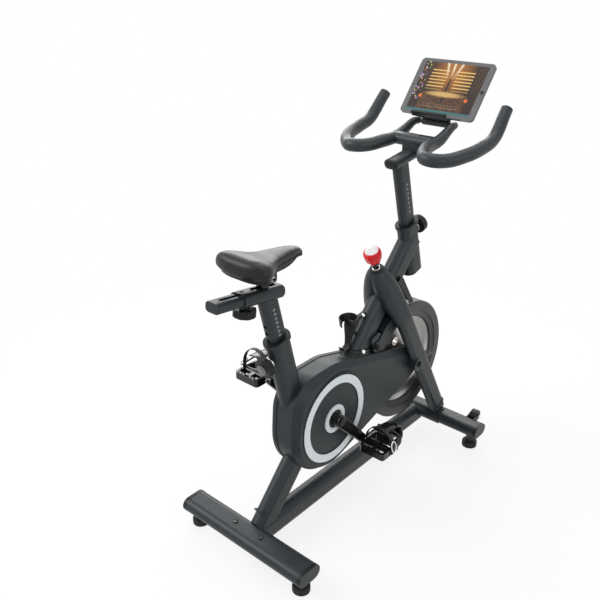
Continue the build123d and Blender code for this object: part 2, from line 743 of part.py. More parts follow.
leg_hi = (crank_x + 326.0, 522.0)
leg_lo = (crank_x + 556.0, 88.0)
leg_solids = []
for s in (1, -1):
    leg_solids.append(
        oval_bar(leg_hi[0], leg_hi[1], leg_lo[0], leg_lo[1], leg_long, leg_wide,
                 s * leg_top_y, s * leg_foot_y)
    )
axle_half = 86.0
with BuildPart() as flywheel_axle:
    with BuildSketch(side(axle_half)):
        with Locations((flywheel_x, flywheel_z)):
            Circle(axle_r)
    extrude(amount=2 * axle_half)
    for s in (1, -1):
        with BuildSketch(side(s * (axle_half - 5))):
            with Locations((flywheel_x, flywheel_z)):
                RegularPolygon(14, 6)
        extrude(amount=-s * 7)
flywheel_axle_raw = flywheel_axle.part
with BuildPart() as axle_fit:
    add(flywheel_axle_raw)
save(axle_fit.part, "flywheel_axle")

# Wheel axle eye on the inside of each leg.
eye_in = 44.6
leg_parts = []
for s, solid in zip((1, -1), leg_solids):
    with BuildPart() as leg:
        add(solid)
        with BuildSketch(side(s * eye_in)):
            with Locations((flywheel_x, flywheel_z)):
                Circle(24)
        extrude(amount=-s * 33)
        with BuildSketch(side(s * (axle_half - 5))):
            with Locations((flywheel_x, flywheel_z)):
                Circle(22)
        extrude(amount=-s * 20, mode=Mode.SUBTRACT)
        add(front_solid, mode=Mode.SUBTRACT)
        add(flywheel_axle_raw, mode=Mode.SUBTRACT)
    leg_parts.append(leg.part.solids().sort_by(SortBy.VOLUME)[-1])

# Fork crown: hood that starts at the tension knob, wraps the diagonal tube, splits into the legs.
kx = crank_x + 253.0
kz = 685.0
kn = (-0.404, 0.915)
lean = hypot(leg_lo[0] - leg_hi[0], leg_lo[1] - leg_hi[1])
leg_dx = (leg_lo[0] - leg_hi[0]) / lean
leg_dz = (leg_lo[1] - leg_hi[1]) / lean
crown_end = (leg_hi[0] + 14 * leg_dx, leg_top_y + 0.5, leg_hi[1] + 14 * leg_dz)
crown_halves = []
for s in (1, -1):
    with BuildPart() as half:
        for x, y, z, ax, ay, az, long, short in (
                (kx, 0, kz, 0.404, 0.0, -0.915, 46, 44), (crank_x + 270, 14, 641, 0.35, 0.3, -0.89, 74, 56),
                (crank_x + 292, 30, 592, 0.40, 0.31, -0.86, 82, 48),
                (crank_x + 311, 44, 550, 0.44, 0.26, -0.86, 74, 40),
                (crown_end[0], crown_end[1], crown_end[2], leg_dx, 0.04, leg_dz, leg_long + 3, leg_wide + 2)):
            size = hypot(hypot(ax, ay), az)
            heading = (ax / size, s * ay / size, az / size)
            with BuildSketch(Plane(origin=(x, s * y, z), x_dir=(-az, 0, ax), z_dir=heading)):
                SlotOverall(long, short)
        loft()
    crown_halves.append(half.part)
with BuildPart() as fork_crown:
    add(crown_halves[0])
    add(crown_halves[1])
crown_raw = fork_crown.part
arm_gap = 16.0
arm_in_r = flywheel_r + arm_gap
arm_out_r = arm_in_r + 5.0
guide_r = 10.0
rod_r = 6.0
guide_top = (kx, 0, kz)
rod_end_t = 158.0
guide_lo = (kx - kn[0] * 146, 0, kz - kn[1] * 146)
guide_hi = (kx + kn[0] * 6, 0, kz + kn[1] * 6)
rod_guide_solid = rod(guide_hi, guide_lo, guide_r)
with BuildPart() as crown_cut:
    add(crown_raw)
    with BuildSketch(side(37.6)):
        with Locations((flywheel_x, flywheel_z)):
            Circle(arm_out_r + 4)
    extrude(amount=75.2, mode=Mode.SUBTRACT)
    add(diag_solid, mode=Mode.SUBTRACT)
    add(rod_guide_solid, mode=Mode.SUBTRACT)
crown_cut_part = crown_cut.part.solids().sort_by(SortBy.VOLUME)[-1]
save(crown_cut_part, "fork_crown")
for s, leg_part, name in ((1, leg_parts[0], "fork_leg_left"), (-1, leg_parts[1], "fork_leg_right")):
    with BuildPart() as leg_cut:
        add(leg_part)
        add(crown_raw, mode=Mode.SUBTRACT)
    save(leg_cut.part.solids().sort_by(SortBy.VOLUME)[-1], name)

# Tension rod with its guide and red knob.
with BuildPart() as rod_guide:
    add(rod_guide_solid)
    add(rod((kx + kn[0] * 6, 0, kz + kn[1] * 6), (kx, 0, kz), 19))
    add(rod((kx + kn[0] * 9, 0, kz + kn[1] * 9), guide_lo, rod_r + running), mode=Mode.SUBTRACT)
    add(crown_cut_part, mode=Mode.SUBTRACT)
save(rod_guide.part.solids().sort_by(SortBy.VOLUME)[-1], "rod_guide")
knob_lo = 31.0
with BuildPart() as brake_rod:
    add(rod((kx + kn[0] * (knob_lo + 19.5), 0, kz + kn[1] * (knob_lo + 19.5)),
            (kx - kn[0] * rod_end_t, 0, kz - kn[1] * rod_end_t), rod_r))
    add(rod((kx + kn[0] * 14, 0, kz + kn[1] * 14), (kx + kn[0] * (knob_lo - 1), 0, kz + kn[1] * (knob_lo - 1)), 9.5))
save(brake_rod.part, "brake_rod")
knob_base = across(kx, kz, kn[0], kn[1])
with BuildPart() as tension_knob:
    with BuildSketch(knob_base.offset(knob_lo)):
        Circle(22)
        Circle(rod_r + running, mode=Mode.SUBTRACT)
    extrude(amount=20)
    with BuildSketch(knob_base.offset(knob_lo + 5)):
        Circle(27)
        with PolarLocations(36, 8):
            Circle(11, mode=Mode.SUBTRACT)
        Circle(rod_r + running, mode=Mode.SUBTRACT)
    extrude(amount=15)
    with BuildSketch(knob_base.offset(knob_lo + 20)):
        Circle(27)
        with PolarLocations(36, 8):
            Circle(11, mode=Mode.SUBTRACT)
    extrude(amount=12)
    with BuildSketch(knob_base.offset(knob_lo + 32)):
        Circle(24.5)
    extrude(amount=9)
    chamfer(tension_knob.faces().sort_by(Axis(knob_base.origin, knob_base.z_dir))[-1].edges(), 4)
save(tension_knob.part, "tension_knob")

# Magnetic brake arm straddling the rim, pivoting on a lug under the diagonal tube.
piv_turn = radians(146.0)
piv_x = flywheel_x + (flywheel_r + 21.3) * cos(piv_turn)
piv_z = flywheel_z + (flywheel_r + 21.3) * sin(piv_turn)
cheek_y = flywheel_half + 2.5
cheek_thick = 3.0


def wedge(a0, a1, r):
    """Triangle from the flywheel centre out past radius r between two angles in degrees."""
    with BuildSketch() as cut:
        with BuildLine():
            Polyline((flywheel_x, flywheel_z),
                     (flywheel_x + r * cos(radians(a0)), flywheel_z + r * sin(radians(a0))),
                     (flywheel_x + r * cos(radians(a1)), flywheel_z + r * sin(radians(a1))), close=True)
        make_face()
    return cut.sketch


back_sector = wedge(109, 133, 400)
cheek_sector = wedge(111, 143, 400)
with BuildPart() as brake_arm:
    with BuildSketch(side(cheek_y + cheek_thick)):
        with Locations((flywheel_x, flywheel_z)):
            Circle(arm_out_r)
            Circle(arm_in_r, mode=Mode.SUBTRACT)
        add(back_sector, mode=Mode.INTERSECT)
    extrude(amount=2 * (cheek_y + cheek_thick))
    for s in (1, -1):
        with BuildSketch(side(cheek_y + cheek_thick if s > 0 else -cheek_y)):
            with Locations((flywheel_x, flywheel_z)):
                Circle(arm_out_r)
                Circle(flywheel_r - 20, mode=Mode.SUBTRACT)
            add(cheek_sector, mode=Mode.INTERSECT)
            with Locations((piv_x, piv_z)):
                Circle(15)
            with BuildLine():
                Polyline((piv_x - 8, piv_z + 12.5), (piv_x + 30, piv_z + 22),
                         (piv_x + 40, piv_z - 15), (piv_x + 4, piv_z - 14), close=True)
            make_face()
            with Locations((piv_x, piv_z)):
                Circle(6 + running, mode=Mode.SUBTRACT)
        extrude(amount=cheek_thick)
    strike = 1.0
    add(rod((kx - kn[0] * (rod_end_t + strike), 0, kz - kn[1] * (rod_end_t + strike)),
            (kx - kn[0] * (rod_end_t + 18), 0, kz - kn[1] * (rod_end_t + 18)), 10))
arm_raw = brake_arm.part
with BuildPart() as inside_rim:
    with BuildSketch(side(cheek_y)):
        with Locations((flywheel_x, flywheel_z)):
            Circle(arm_in_r)
    extrude(amount=2 * cheek_y)
with BuildPart() as brake_arm_cut:
    add(arm_raw)
    add(inside_rim.part, mode=Mode.SUBTRACT)
save(brake_arm_cut.part.solids().sort_by(SortBy.VOLUME)[-1], "brake_arm")
with BuildPart() as arm_lug:
    with BuildSketch(side(cheek_y - gap)):
        add(wrapped([(piv_x, piv_z, 11.0), (piv_x + 12, piv_z + 30, 12.0), (piv_x - 12, piv_z + 24, 10.0)]))
    extrude(amount=2 * (cheek_y - gap))
    with BuildSketch(side(cheek_y + 9)):
        with Locations((piv_x, piv_z)):
            Circle(6)
    extrude(amount=2 * (cheek_y + 9))
    add(diag_solid, mode=Mode.SUBTRACT)
lug_done = arm_lug.part.solids().sort_by(SortBy.VOLUME)[-1]

# Diagonal tube, cut to meet the head tube, with the rod guide passing through it.
with BuildPart() as diag_bore:
    add(oval_bar(diag_lo[0] - 40, diag_lo[1] - 43.5, diag_hi[0], diag_hi[1],
                 diag_long - 2 * tube_wall, diag_wide - 2 * tube_wall))
with BuildPart() as diagonal_tube:
    add(diag_solid)
    add(diag_bore.part, mode=Mode.SUBTRACT)
    add(head_solid, mode=Mode.SUBTRACT)
    add(rod_guide_solid, mode=Mode.SUBTRACT)
diag_pieces = diagonal_tube.part.solids().sort_by(SortBy.VOLUME)
diag_part = diag_pieces[-1]
with BuildPart() as diag_done:
    add(diag_part)
    with BuildSketch(across(head_x, head_z, head_dx, head_dz)):
        Rectangle(400, 100)
    extrude(amount=-300, mode=Mode.SUBTRACT)
diag_trimmed = diag_done.part.solids().sort_by(SortBy.VOLUME)[-1]
with BuildPart() as diag_with_lug:
    add(diag_trimmed)
    add(lug_done)
save(diag_with_lug.part, "diagonal_tube")

# Base members.
with BuildPart() as front_stabilizer:
    add(front_solid)
    add(cross_bar(front_x, front_z, stab_long - 6, stab_high - 6, -front_half + 3, front_half - 3),
        mode=Mode.SUBTRACT)
    with BuildSketch(Plane.XY.offset(0)):
        for s in (1, -1):
            with Locations((front_x, s * (front_half - 34))):
                Circle(5 + running)
    extrude(amount=front_z, mode=Mode.SUBTRACT)
wheel_x = crank_x + 604.0
wheel_z = 87.0
wheel_y = 191.0
wheel_r = 20.0
with BuildPart() as front_done:
    add(front_stabilizer.part)
    for s in (1, -1):
        for off in (-15.0, 12.0):
            with BuildSketch(side(s * wheel_y + off + 3)):
                add(wrapped([(front_x + 14, front_z + 6, 13.0), (wheel_x, wheel_z, 9.0)]))
                with Locations((wheel_x, wheel_z)):
                    Circle(4, mode=Mode.SUBTRACT)
            extrude(amount=3)
    add(cross_bar(front_x, front_z, stab_long - 6, stab_high - 6, -front_half + 3, front_half - 3),
        mode=Mode.SUBTRACT)
    for s in (1, -1):
        add(rod((wheel_x, s * wheel_y - 17, wheel_z), (wheel_x, s * wheel_y + 17, wheel_z), 4))
front_tube = front_done.part
for s, name in ((1, "wheel_left"), (-1, "wheel_right")):
    with BuildPart() as roller:
        with BuildSketch(side(s * wheel_y + 11)):
            with Locations((wheel_x, wheel_z)):
                Circle(wheel_r)
                Circle(4 + running, mode=Mode.SUBTRACT)
        extrude(amount=22)
        chamfer(roller.faces().filter_by(Axis.Y).edges().filter_by(lambda e: e.radius > 10), 2)
    save(roller.part, name)

with BuildPart() as rear_stabilizer:
    add(rear_solid)
    add(cross_bar(rear_x, rear_z, rear_long - 6, rear_high - 6, -rear_half + 3, rear_half - 3),
        mode=Mode.SUBTRACT)
    with BuildSketch(Plane.XY.offset(0)):
        for s in (1, -1):
            with Locations((rear_x, s * (rear_half - 30))):
                Circle(5 + running)
    extrude(amount=rear_z, mode=Mode.SUBTRACT)
save(rear_stabilizer.part, "rear_stabilizer")

feet = (("foot_front_left", front_x, front_half - 34, front_z - stab_high / 2),
        ("foot_front_right", front_x, 34 - front_half, front_z - stab_high / 2),
        ("foot_rear_left", rear_x, rear_half - 30, rear_z - rear_high / 2),
        ("foot_rear_right", rear_x, 30 - rear_half, rear_z - rear_high / 2))
for name, fx, fy, under in feet:
    with BuildPart() as foot:
        with BuildSketch(Plane.XY):
            with Locations((fx, fy)):
                Circle(24)
        extrude(amount=20)
        chamfer(foot.edges(), 2)
        with BuildSketch(Plane.XY.offset(20)):
            with Locations((fx, fy)):
                RegularPolygon(13, 6)
        extrude(amount=under - 20 - gap)
        with BuildSketch(Plane.XY.offset(20)):
            with Locations((fx, fy)):
                Circle(5)
        extrude(amount=under - 20 + 14)
    save(foot.part, name)

stub_x = crank_x + 330.0
stub_long = 68.0
stub_wide = 44.0
beam_solid = oval_bar(rear_x + 20, beam_z, stub_x, beam_z, beam_high, beam_wide)
stub_solid = oval_bar(stub_x, beam_z + 4, front_x, beam_z + 4, stub_long, stub_wide)
with BuildPart() as lower_beam:
    add(beam_solid)
    add(oval_bar(rear_x + 23, beam_z, stub_x - 3, beam_z, beam_high - 6, beam_wide - 6), mode=Mode.SUBTRACT)
    add(rear_solid, mode=Mode.SUBTRACT)
    with BuildSketch(Plane.YZ.offset(rear_x - 80)):
        with Locations((0, 60)):
            Rectangle(120, 160)
    extrude(amount=80 + rear_long / 2 - 12, mode=Mode.SUBTRACT)
lower_done = lower_beam.part.solids().sort_by(SortBy.VOLUME)[-1]
with BuildPart() as rear_strut:
    add(strut_solid)
    add(oval_bar(strut_hi[0], strut_hi[1], strut_lo[0], strut_lo[1], strut_long - 6, strut_wide - 6),
        mode=Mode.SUBTRACT)
    add(beam_solid, mode=Mode.SUBTRACT)
    add(rear_solid, mode=Mode.SUBTRACT)
save(rear_strut.part.solids().sort_by(SortBy.VOLUME)[-1], "rear_strut")

# Front bracket over the stabilizer that takes both legs and the beam stub.
brk_half = 96.0
with BuildPart() as front_bracket:
    with BuildSketch(side(brk_half)):
        with Locations((front_x, front_z)):
            SlotOverall(stab_long + 8, stab_high + 8)
        with Locations((front_x + 40, front_z)):
            Rectangle(60, 60, mode=Mode.SUBTRACT)
    extrude(amount=2 * brk_half)
    add(front_solid, mode=Mode.SUBTRACT)
    for solid in leg_solids:
        add(solid, mode=Mode.SUBTRACT)
bracket_done = front_bracket.part.solids().sort_by(SortBy.VOLUME)[-1]
with BuildPart() as front_joined:
    add(front_tube)
    add(bracket_done)
save(front_joined.part, "front_stabilizer")
with BuildPart() as beam_stub:
    add(stub_solid)
    add(oval_bar(stub_x + 3, beam_z + 4, front_x, beam_z + 4, stub_long - 6, stub_wide - 6),
        mode=Mode.SUBTRACT)
    with BuildSketch(side(60)):
        with Locations((front_x, front_z)):
            SlotOverall(stab_long + 8, stab_high + 8)
        with Locations((front_x + 20, front_z)):
            Rectangle(60, 120)
    extrude(amount=120, mode=Mode.SUBTRACT)
stub_done = beam_stub.part.solids().sort_by(SortBy.VOLUME)[-1]
with BuildPart() as beam_joined:
    add(lower_done)
    add(stub_done)
save(beam_joined.part, "lower_beam")

# Belt guard: right cover that tapers to the wheel axle, centre band, left cover.
outer_loop = [(crank_x, crank_z, guard_big_r), (flywheel_x - 8, 326.0, 58.0),
              (crank_x, crank_z, guard_big_r), (crank_x - 62, crank_z + 65, 97.0)]
face_loop = [(crank_x, crank_z, guard_face_r), (flywheel_x - 8, 318.0, 43.0),
             (crank_x, crank_z, guard_face_r), (crank_x - 55, crank_z + 58, 86.0)]


def shrink(circles, by):
    return [(x, z, r - by) for x, z, r in circles]


outer_out = wrapped(outer_loop)
outer_in = wrapped(shrink(outer_loop, 3.0))
face_out = wrapped(face_loop)
face_in = wrapped(shrink(face_loop, 3.0))
outer_deep = wrapped(shrink(outer_loop, 9.0))
band_out = wrapped(shrink(outer_loop, 2.0))
band_in = wrapped(shrink(outer_loop, 5.0))
guard_seam = -20.0
guard_turn = -37.0
face_y = -55.0
face_lean = 1.1


def face_plane(y):
    """Slightly leaning plane that brings the cover in towards the wheel axle."""
    tilt = radians(face_lean)
    return Plane(origin=(crank_x, y, 0), x_dir=(cos(tilt), sin(tilt), 0), z_dir=(sin(tilt), -cos(tilt), 0))


def shifted(sketch):
    return Pos(-crank_x, 0, 0) * sketch


with BuildPart() as guard_outer:
    with BuildSketch(side(guard_seam)):
        add(outer_out)
    extrude(amount=guard_seam - guard_turn)
with BuildPart() as guard_shoulder:
    with BuildSketch(side(guard_turn)):
        add(outer_out)
    with BuildSketch(face_plane(face_y)):
        add(shifted(face_out))
    loft(ruled=True)
with BuildPart() as guard_inner:
    with BuildSketch(side(guard_seam)):
        add(outer_in)
    extrude(amount=guard_seam - guard_turn)
with BuildPart() as guard_inner_shoulder:
    with BuildSketch(side(guard_turn)):
        add(outer_in)
    with BuildSketch(face_plane(face_y + 3)):
        add(shifted(face_in))
    loft(ruled=True)
with BuildPart() as wheel_room:
    with BuildSketch(side(flywheel_half + 1)):
        with Locations((flywheel_x, flywheel_z)):
            Circle(flywheel_r + 5)
    extrude(amount=2 * (flywheel_half + 1))
with BuildPart() as guard_right:
    add(guard_outer.part)
    add(guard_shoulder.part)
    with BuildSketch(side(face_y + 4)):
        with Locations((crank_x, crank_z)):
            Circle(139)
    extrude(amount=5.5)
    with BuildSketch(side(face_y - 1.5)):
        with Locations((crank_x, crank_z)):
            Circle(139)
    extrude(amount=20, mode=Mode.SUBTRACT)
    add(guard_inner.part, mode=Mode.SUBTRACT)
    add(guard_inner_shoulder.part, mode=Mode.SUBTRACT)
    with BuildSketch(side(-20)):
        with Locations((crank_x, crank_z)):
            Circle(30)
        with Locations((flywheel_x, flywheel_z)):
            Circle(16)
    extrude(amount=60, mode=Mode.SUBTRACT)
    add(wheel_room.part, mode=Mode.SUBTRACT)
    add(seat_solid, mode=Mode.SUBTRACT)
    add(diag_solid, mode=Mode.SUBTRACT)
    add(strut_solid, mode=Mode.SUBTRACT)
guard_right_part = guard_right.part.solids().sort_by(SortBy.VOLUME)[-1]
with BuildPart() as guard_right_done:
    add(guard_right_part)
    add(leg_parts[1], mode=Mode.SUBTRACT)
save(guard_right_done.part.solids().sort_by(SortBy.VOLUME)[-1], "guard_right")

with BuildPart() as guard_ring:
    with BuildSketch(side(face_y - 1.5)):
        with Locations((crank_x, crank_z)):
            Circle(133)
            Circle(109, mode=Mode.SUBTRACT)
    extrude(amount=3)
    with BuildSketch(side(face_y - 1.5)):
        with Locations((crank_x, crank_z)):
            Circle(43)
            Circle(28, mode=Mode.SUBTRACT)
    extrude(amount=3.5)
save(guard_ring.part, "guard_ring")

with BuildPart() as guard_band:
    with BuildSketch(side(20)):
        add(band_out)
        add(band_in, mode=Mode.SUBTRACT)
    extrude(amount=40)
    add(wheel_room.part, mode=Mode.SUBTRACT)
    add(seat_solid, mode=Mode.SUBTRACT)
    add(diag_solid, mode=Mode.SUBTRACT)
    add(strut_solid, mode=Mode.SUBTRACT)
save(guard_band.part, "guard_band")

with BuildPart() as guard_left:
    with BuildSketch(side(38)):
        add(outer_out)
    extrude(amount=18)
    chamfer(guard_left.faces().sort_by(Axis.Y)[-1].edges(), 6)
    with BuildSketch(side(31)):
        add(outer_in)
    extrude(amount=11, mode=Mode.SUBTRACT)
    with BuildSketch(side(35)):
        add(outer_deep)
    extrude(amount=15, mode=Mode.SUBTRACT)
    with BuildSketch(side(60)):
        with Locations((crank_x, crank_z)):
            Circle(30)
    extrude(amount=60, mode=Mode.SUBTRACT)
    with BuildSketch(side(80)):
        with Locations((flywheel_x, flywheel_z)):
            Circle(flywheel_r + 5)
    extrude(amount=100, mode=Mode.SUBTRACT)
    add(seat_solid, mode=Mode.SUBTRACT)
    add(diag_solid, mode=Mode.SUBTRACT)
    add(strut_solid, mode=Mode.SUBTRACT)
save(guard_left.part.solids().sort_by(SortBy.VOLUME)[-1], "guard_left")

# Steel core inside the guard: two plates, crank shell.
core_pts = [(-125, 395), (-80, 440), (60, 452), (112, 405), (60, 300), (-60, 200), (-108, 226), (-138, 315)]
with BuildPart() as frame_core:
    for y1 in (27.0, -23.0):
        with BuildSketch(side(y1)):
            with BuildLine():
                Polyline([(crank_x + x, z) for x, z in core_pts], close=True)
            make_face()
        extrude(amount=4)
    with BuildSketch(side(30)):
        with Locations((crank_x, crank_z)):
            Circle(23)
    extrude(amount=60)
    with BuildSketch(side(30)):
        with Locations((crank_x, crank_z)):
            Circle(spindle_r + running)
    extrude(amount=60, mode=Mode.SUBTRACT)
    add(seat_solid, mode=Mode.SUBTRACT)
    add(diag_solid, mode=Mode.SUBTRACT)
    add(strut_solid, mode=Mode.SUBTRACT)
save(frame_core.part.solids().sort_by(SortBy.VOLUME)[-1], "frame_core")

# Belt round both pulleys, a little off each so that they can turn.
belt_gap = 0.35
belt_thick = 3.5
belt_out_loop = wrapped([(crank_x, crank_z, pulley_r + belt_gap + belt_thick),
                         (flywheel_x, flywheel_z, small_r + belt_gap + belt_thick)])
belt_in_loop = wrapped([(crank_x, crank_z, pulley_r + belt_gap),
                        (flywheel_x, flywheel_z, small_r + belt_gap)])
with BuildPart() as belt:
    with BuildSketch(side(belt_in - 1)):
        add(belt_out_loop)
        add(belt_in_loop, mode=Mode.SUBTRACT)
    extrude(amount=belt_in - belt_out - 2)
save(belt.part, "belt")

# Brake shroud between the crown and the top of the flywheel.
with BuildPart() as shroud:
    with BuildSketch(side(34)):
        with BuildLine():
            Polyline((crank_x + 321, 630), (crank_x + 334, 643), (crank_x + 347, 636),
                     (crank_x + 422, 522), (crank_x + 405, 520), close=True)
        make_face()
    extrude(amount=68)
    with BuildSketch(side(31)):
        with BuildLine():
            Polyline((crank_x + 312, 632), (crank_x + 333.5, 639.6), (crank_x + 344.5, 634.4),
                     (crank_x + 425.6, 511), (crank_x + 398, 511), close=True)
        make_face()
    extrude(amount=62, mode=Mode.SUBTRACT)
    with BuildSketch(side(60)):
        with Locations((flywheel_x, flywheel_z)):
            Circle(flywheel_r + 7)
    extrude(amount=120, mode=Mode.SUBTRACT)
    add(diag_solid, mode=Mode.SUBTRACT)
    add(crown_raw, mode=Mode.SUBTRACT)
    add(head_solid, mode=Mode.SUBTRACT)
save(shroud.part.solids().sort_by(SortBy.VOLUME)[-1], "brake_shroud")

# Bottle cage on the upper face of the diagonal tube.


def off_tube(along, out):
    """Side-view point: along the diagonal tube from its knee, and out from its centre line."""
    return (crank_x + 154 + dx * along - dz * out, 442 + dz * along + dx * out)


bottle_r = 37.5
cage_wall = 3.0
bottle_out = diag_long / 2 + 5 + bottle_r
cage_lo = -6.0
band_lo = 56.0
band_hi = 86.0
cage_base = off_tube(cage_lo, bottle_out)
with BuildPart() as cage_spine:
    with BuildSketch(across(cage_base[0], cage_base[1], dx, dz)):
        Circle(bottle_r + cage_wall)
        Circle(bottle_r, mode=Mode.SUBTRACT)
        with Locations((-bottle_r / 2, 0)):
            Rectangle(bottle_r, 90, mode=Mode.SUBTRACT)
    extrude(amount=band_hi - cage_lo)
    taper = Plane(origin=(cage_base[0], 0, cage_base[1]), x_dir=(dx, 0, dz), z_dir=(dz, 0, -dx))
    with BuildSketch(taper):
        with BuildLine():
            Polyline((-1, -12), (30, -17), (band_lo - cage_lo - 14, -30), (band_lo - cage_lo, -41),
                     (band_hi - cage_lo, -41), (band_hi - cage_lo, 41), (band_lo - cage_lo, 41),
                     (band_lo - cage_lo - 14, 30), (30, 17), (-1, 12), close=True)
        make_face()
    extrude(amount=60, mode=Mode.INTERSECT)
    with BuildSketch(taper):
        with Locations((38, 0)):
            SlotOverall(34, 9)
    extrude(amount=60, mode=Mode.SUBTRACT)
with BuildPart() as bottle_cage:
    add(cage_spine.part)
    b0 = off_tube(cage_lo + 4, diag_long / 2 + 2.5)
    with BuildSketch(across(b0[0], b0[1], dx, dz)):
        Rectangle(5.5, 18)
    extrude(amount=band_hi - cage_lo - 12)
    c0 = off_tube(band_lo, bottle_out)
    with BuildSketch(across(c0[0], c0[1], dx, dz)):
        Circle(bottle_r + cage_wall)
        Circle(bottle_r, mode=Mode.SUBTRACT)
        with Locations((-bottle_r - 8, 0)):
            Rectangle(52, 52, mode=Mode.SUBTRACT)
    extrude(amount=band_hi - band_lo)
    with BuildSketch(across(cage_base[0], cage_base[1], dx, dz)):
        Circle(bottle_r + cage_wall)
        with Locations((-bottle_r - 2, 0)):
            Rectangle(2 * bottle_r - 12, 100, mode=Mode.SUBTRACT)
        with Locations((0, 32), (0, -32)):
            Rectangle(100, 40, mode=Mode.SUBTRACT)
        with Locations((-14, 0)):
            Rectangle(50, 16)
    extrude(amount=cage_wall)
    lip = off_tube(cage_lo, bottle_out + 37)
    with BuildSketch(across(lip[0], lip[1], dx, dz)):
        Rectangle(4, 16)
    extrude(amount=8)
    add(diag_solid, mode=Mode.SUBTRACT)
save(bottle_cage.part.solids().sort_by(SortBy.VOLUME)[-1], "bottle_cage")

# Pedals with toe cages.
strap_top = 76.0
for s, tag in ((-1, "right"), (1, "left")):
    ex = crank_x - s * crank_length * cos(drop)
    ez = crank_z + s * crank_length * sin(drop)
    y_mid = s * pedal_y
    with BuildPart() as pedal:
        with BuildSketch(Plane.XY.offset(ez - 11)):
            with Locations((ex, y_mid)):
                RectangleRounded(84, 2 * pedal_half, 9)
                RectangleRounded(66, 2 * pedal_half - 16, 4, mode=Mode.SUBTRACT)
        extrude(amount=22)
        with BuildSketch(Plane.XY.offset(ez - 8)):
            with Locations((ex, y_mid)):
                Rectangle(14, 2 * pedal_half - 8)
                Rectangle(80, 12)
        extrude(amount=16)
        add(rod((ex, y_mid - pedal_half + 1, ez), (ex, y_mid + pedal_half - 1, ez), 11))
        add(rod((ex, y_mid - s * (pedal_half + 3), ez), (ex, y_mid + s * (pedal_half - 5), ez),
                5 + running), mode=Mode.SUBTRACT)
    save(pedal.part, "pedal_" + tag)
    wall = 2.5
    cup_shells = []
    for inset, back in ((0.0, 8.0), (wall, -30.0)):
        with BuildPart() as cup:
            with BuildSketch(side(y_mid + 60)):
                with BuildLine():
                    Spline((ex + 10, ez + strap_top - inset), (ex + 66 - inset, ez + 66 - inset),
                           (ex + 90 - inset, ez + 34), (ex + 72 - inset, ez + 3 + inset),
                           (ex + 38, ez - 6 + inset))
                    Polyline((ex + 38, ez - 6 + inset), (ex + back, ez - 6 + inset),
                             (ex + back, ez + strap_top - inset), (ex + 10, ez + strap_top - inset))
                make_face()
            extrude(amount=120)
            with BuildSketch(Plane.YZ.offset(ex - 60)):
                with Locations((y_mid, ez + 18)):
                    Ellipse(pedal_half + wall - inset, strap_top - 18 - inset)
            extrude(amount=200, mode=Mode.INTERSECT)
        cup_shells.append(cup.part)
    with BuildPart() as cage:
        add(cup_shells[0])
        add(cup_shells[1], mode=Mode.SUBTRACT)
        with BuildSketch(side(y_mid + 60)):
            with Locations((ex + 46, ez + 36)):
                SlotOverall(46, 24)
        extrude(amount=120, mode=Mode.SUBTRACT)
        with BuildSketch(Plane.YZ.offset(ex - 14)):
            with Locations((y_mid, ez + 18)):
                Ellipse(pedal_half + wall, strap_top - 18)
                Ellipse(pedal_half, strap_top - 18 - wall, mode=Mode.SUBTRACT)
            with Locations((y_mid, ez - 32)):
                Rectangle(120, 100, mode=Mode.SUBTRACT)
            with Locations((y_mid - pedal_half - wall / 2, ez + 12.5), (y_mid + pedal_half + wall / 2, ez + 12.5)):
                Rectangle(wall, 12)
        extrude(amount=24)
        with BuildSketch(Plane.XY.offset(ez - 20)):
            with Locations((ex, y_mid)):
                Rectangle(84, 2 * pedal_half)
        extrude(amount=31, mode=Mode.SUBTRACT)
        add(pedal.part, mode=Mode.SUBTRACT)
    save(cage.part, "toe_cage_" + tag)
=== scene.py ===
# An upright indoor exercise bike: oval steel tubes under a satin charcoal powder coat, a belt guard with a
# silver ring, a heavy front wheel, a vinyl saddle, looped bars and a tablet on a tilting cradle. Metres, with
# the floor at z = 0, +X ahead and +Y to the bike's left; the points that outline a piece are in millimetres.
import json
import math
import bpy
from mathutils import Matrix, Vector


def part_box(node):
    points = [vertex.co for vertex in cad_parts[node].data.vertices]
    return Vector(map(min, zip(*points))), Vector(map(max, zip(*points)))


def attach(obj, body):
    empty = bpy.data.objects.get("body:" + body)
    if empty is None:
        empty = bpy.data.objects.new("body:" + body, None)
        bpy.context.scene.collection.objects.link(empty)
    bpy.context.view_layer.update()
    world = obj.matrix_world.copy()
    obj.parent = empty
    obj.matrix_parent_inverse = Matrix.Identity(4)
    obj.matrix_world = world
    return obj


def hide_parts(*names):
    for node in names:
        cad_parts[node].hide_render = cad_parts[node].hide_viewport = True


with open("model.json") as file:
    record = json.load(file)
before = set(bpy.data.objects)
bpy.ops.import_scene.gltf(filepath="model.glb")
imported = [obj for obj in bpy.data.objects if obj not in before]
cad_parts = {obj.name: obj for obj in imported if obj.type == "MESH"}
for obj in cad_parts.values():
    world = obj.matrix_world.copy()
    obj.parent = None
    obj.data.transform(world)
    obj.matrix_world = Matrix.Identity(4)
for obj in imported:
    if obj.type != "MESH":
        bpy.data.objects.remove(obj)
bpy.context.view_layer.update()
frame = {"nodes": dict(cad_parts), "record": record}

scene = bpy.context.scene
nodes = frame["nodes"]
SIDES = (("left", 1), ("right", -1))


# ---------- shader arithmetic and node recipes

